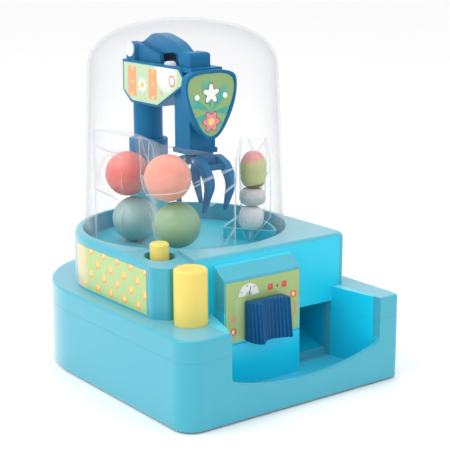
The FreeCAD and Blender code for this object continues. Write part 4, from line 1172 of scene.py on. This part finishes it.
@dataclass
class Prizes:
    """Everything that the machine is filled with."""

    def _held(self, nodes: Sequence[str]) -> tuple[tuple[float, float, float, float], ...]:
        """Centre and radius of the CAD solids that a pouch holds."""
        found = []
        for node in nodes:
            low, high = span(node)
            found.append((*((low + high) / 2), (high[0] - low[0]) / 2))
        return tuple(found)

    def build(self) -> list[bpy.types.Object]:
        """Makes the balls, the soft prizes and both pouches."""
        ball_low, ball_high = (corner[2] for corner in span("ball_pouch"))
        small_low, small_high = (corner[2] for corner in span("small_pouch"))
        route = [(-49.0, 44.5), (-25.0, 39.8), (-30.8, -15.8), (-19.0, -29.0), (2.0, -35.5)]
        folds = ((1.0, 141.0, 0.72, 124.0), (0.72, 124.0, 0.60, 119.0), (1.0, 128.0, 0.86, 112.0),
                 (1.0, 96.0, 0.90, 78.0),
                 (0.0, 140.0, 0.16, 132.0), (0.0, 112.0, 0.13, 104.0), (0.42, 149.0, 0.47, 108.0),
                 (0.36, 124.0, 0.52, 112.0), (0.44, 100.0, 0.52, 80.0), (0.30, 149.0, 0.36, 118.0))
        balls = FilmPouch("ball_pouch_film", "ball_pouch", route, ball_low + 0.1, ball_high - 0.3,
                          self._held([f"prize_ball_{tone}" for tone in
                                      ("coral", "grey", "peach", "green")]),
                          7, folds, top_drop=12.0)
        creases = ((0.08, 140.0, 0.18, 96.0), (0.92, 142.0, 0.80, 100.0),
                   (0.15, 112.0, 0.42, 104.0), (0.20, 96.0, 0.45, 79.0),
                   (0.82, 97.0, 0.55, 78.0), (0.5, 88.0, 0.52, 78.0),
                   (0.9, 120.0, 0.7, 108.0), (0.3, 142.0, 0.5, 134.0), (0.66, 134.0, 0.9, 140.0))
        girth = ((0.0, 0.9), (0.2, 0.98), (0.5, 1.0), (0.8, 0.94), (0.93, 0.8), (1.0, 0.72))
        small = FilmPouch("small_pouch_film", "small_pouch",
                          [(27.6, -0.6), (36.6, -7.4), (46.3, -14.6)],
                          small_low + 0.1, small_high - 0.2,
                          self._held(["prize_dumpling", "prize_bun_grey", "prize_bun_white"]), 21,
                          creases, 0.9, 1.0, (29.6, -12.6), girth, 0.0, 110, 130)
        return [*Balls().build(), *SmallPrizes().build(), balls.build(), small.build()]


# ---- studio ----------------------------------------------------------------------------------
@dataclass
class Studio:
    """Pale floor, soft lights and the camera."""

    place: tuple[float, float, float] = (-449.8, -634.8, 276.6)
    pitch: float = 13.51
    yaw: float = 36.55
    roll: float = 0.15
    lens: float = 101.8

    def _lamp(self, name: str, place: Rgb, aim: Rgb, size: float, power: float,
              colour: Rgb) -> None:
        """One soft area light.

        Args:
            name: its name.
            place: where it hangs, metres.
            aim: what it points at, metres.
            size: its side, metres.
            power: watts.
            colour: linear colour.
        """
        data = bpy.data.lights.new(name, "AREA")
        data.size = size
        data.energy = power
        data.color = colour
        lamp = bpy.data.objects.new(name, data)
        bpy.context.scene.collection.objects.link(lamp)
        lamp.location = place
        direction = np.array(aim) - np.array(place)
        flat = math.hypot(direction[0], direction[1])
        heading = math.atan2(direction[1], direction[0]) - math.pi / 2
        lamp.rotation_euler = (math.atan2(flat, -direction[2]), 0, heading)

    def build(self) -> None:
        """Makes the floor, the sky, the lights and the camera."""
        scene = bpy.context.scene
        scene.view_settings.view_transform = "Standard"
        scene.view_settings.look = "None"
        scene.cycles.transparent_max_bounces = 40
        world = bpy.data.worlds.new("studio")
        world.use_nodes = True
        sky = world.node_tree.nodes["Background"].inputs
        sky["Color"].default_value = (1.0, 1.0, 1.0, 1.0)
        sky["Strength"].default_value = 1.0
        scene.world = world
        shader = Shader("studio floor")
        tone = shader.mix(shader.noise(3), (0.955, 0.955, 0.955), (0.97, 0.97, 0.97))
        floor_skin = shader.principled({"Base Color": tone, "Roughness": 0.6})
        half = 6000.0
        corners = np.array([(-half, -half, 0), (half, -half, 0), (half, half, 0), (-half, half, 0)])
        floor = piece("studio_floor", corners, [[0, 1, 2, 3]], floor_skin, False)
        middle = (0.0, 0.0, 0.10)
        self._lamp("key", (-0.85, 0.15, 0.95), middle, 0.7, 4.6, (1.0, 0.99, 0.97))
        self._lamp("top", (0.1, 0.1, 1.2), middle, 0.9, 3.0, (1.0, 1.0, 1.0))
        camera_data = bpy.data.cameras.new("camera")
        camera_data.lens = self.lens
        camera_data.sensor_width = 36.0
        camera_data.clip_start = 0.01
        camera = bpy.data.objects.new("camera", camera_data)
        scene.collection.objects.link(camera)
        camera.location = tuple(value * MM for value in self.place)
        turns = (90 - self.pitch, self.roll, -self.yaw)
        camera.rotation_euler = tuple(math.radians(turn) for turn in turns)
        scene.camera = camera


def main() -> None:
    """Builds every sub-assembly and reports its pieces."""
    logging.basicConfig(level=logging.INFO, format="%(name)s: %(message)s")
    Studio().build()
    for part in (CarriedParts(CARRIED), Buttons(), RibbedKnob(), Coils(), Prizes()):
        for made in part.build():
            log.info("%s: %s, %d points", type(part).__name__, made.name, len(made.data.vertices))


if __name__ == "__main__":
    main()
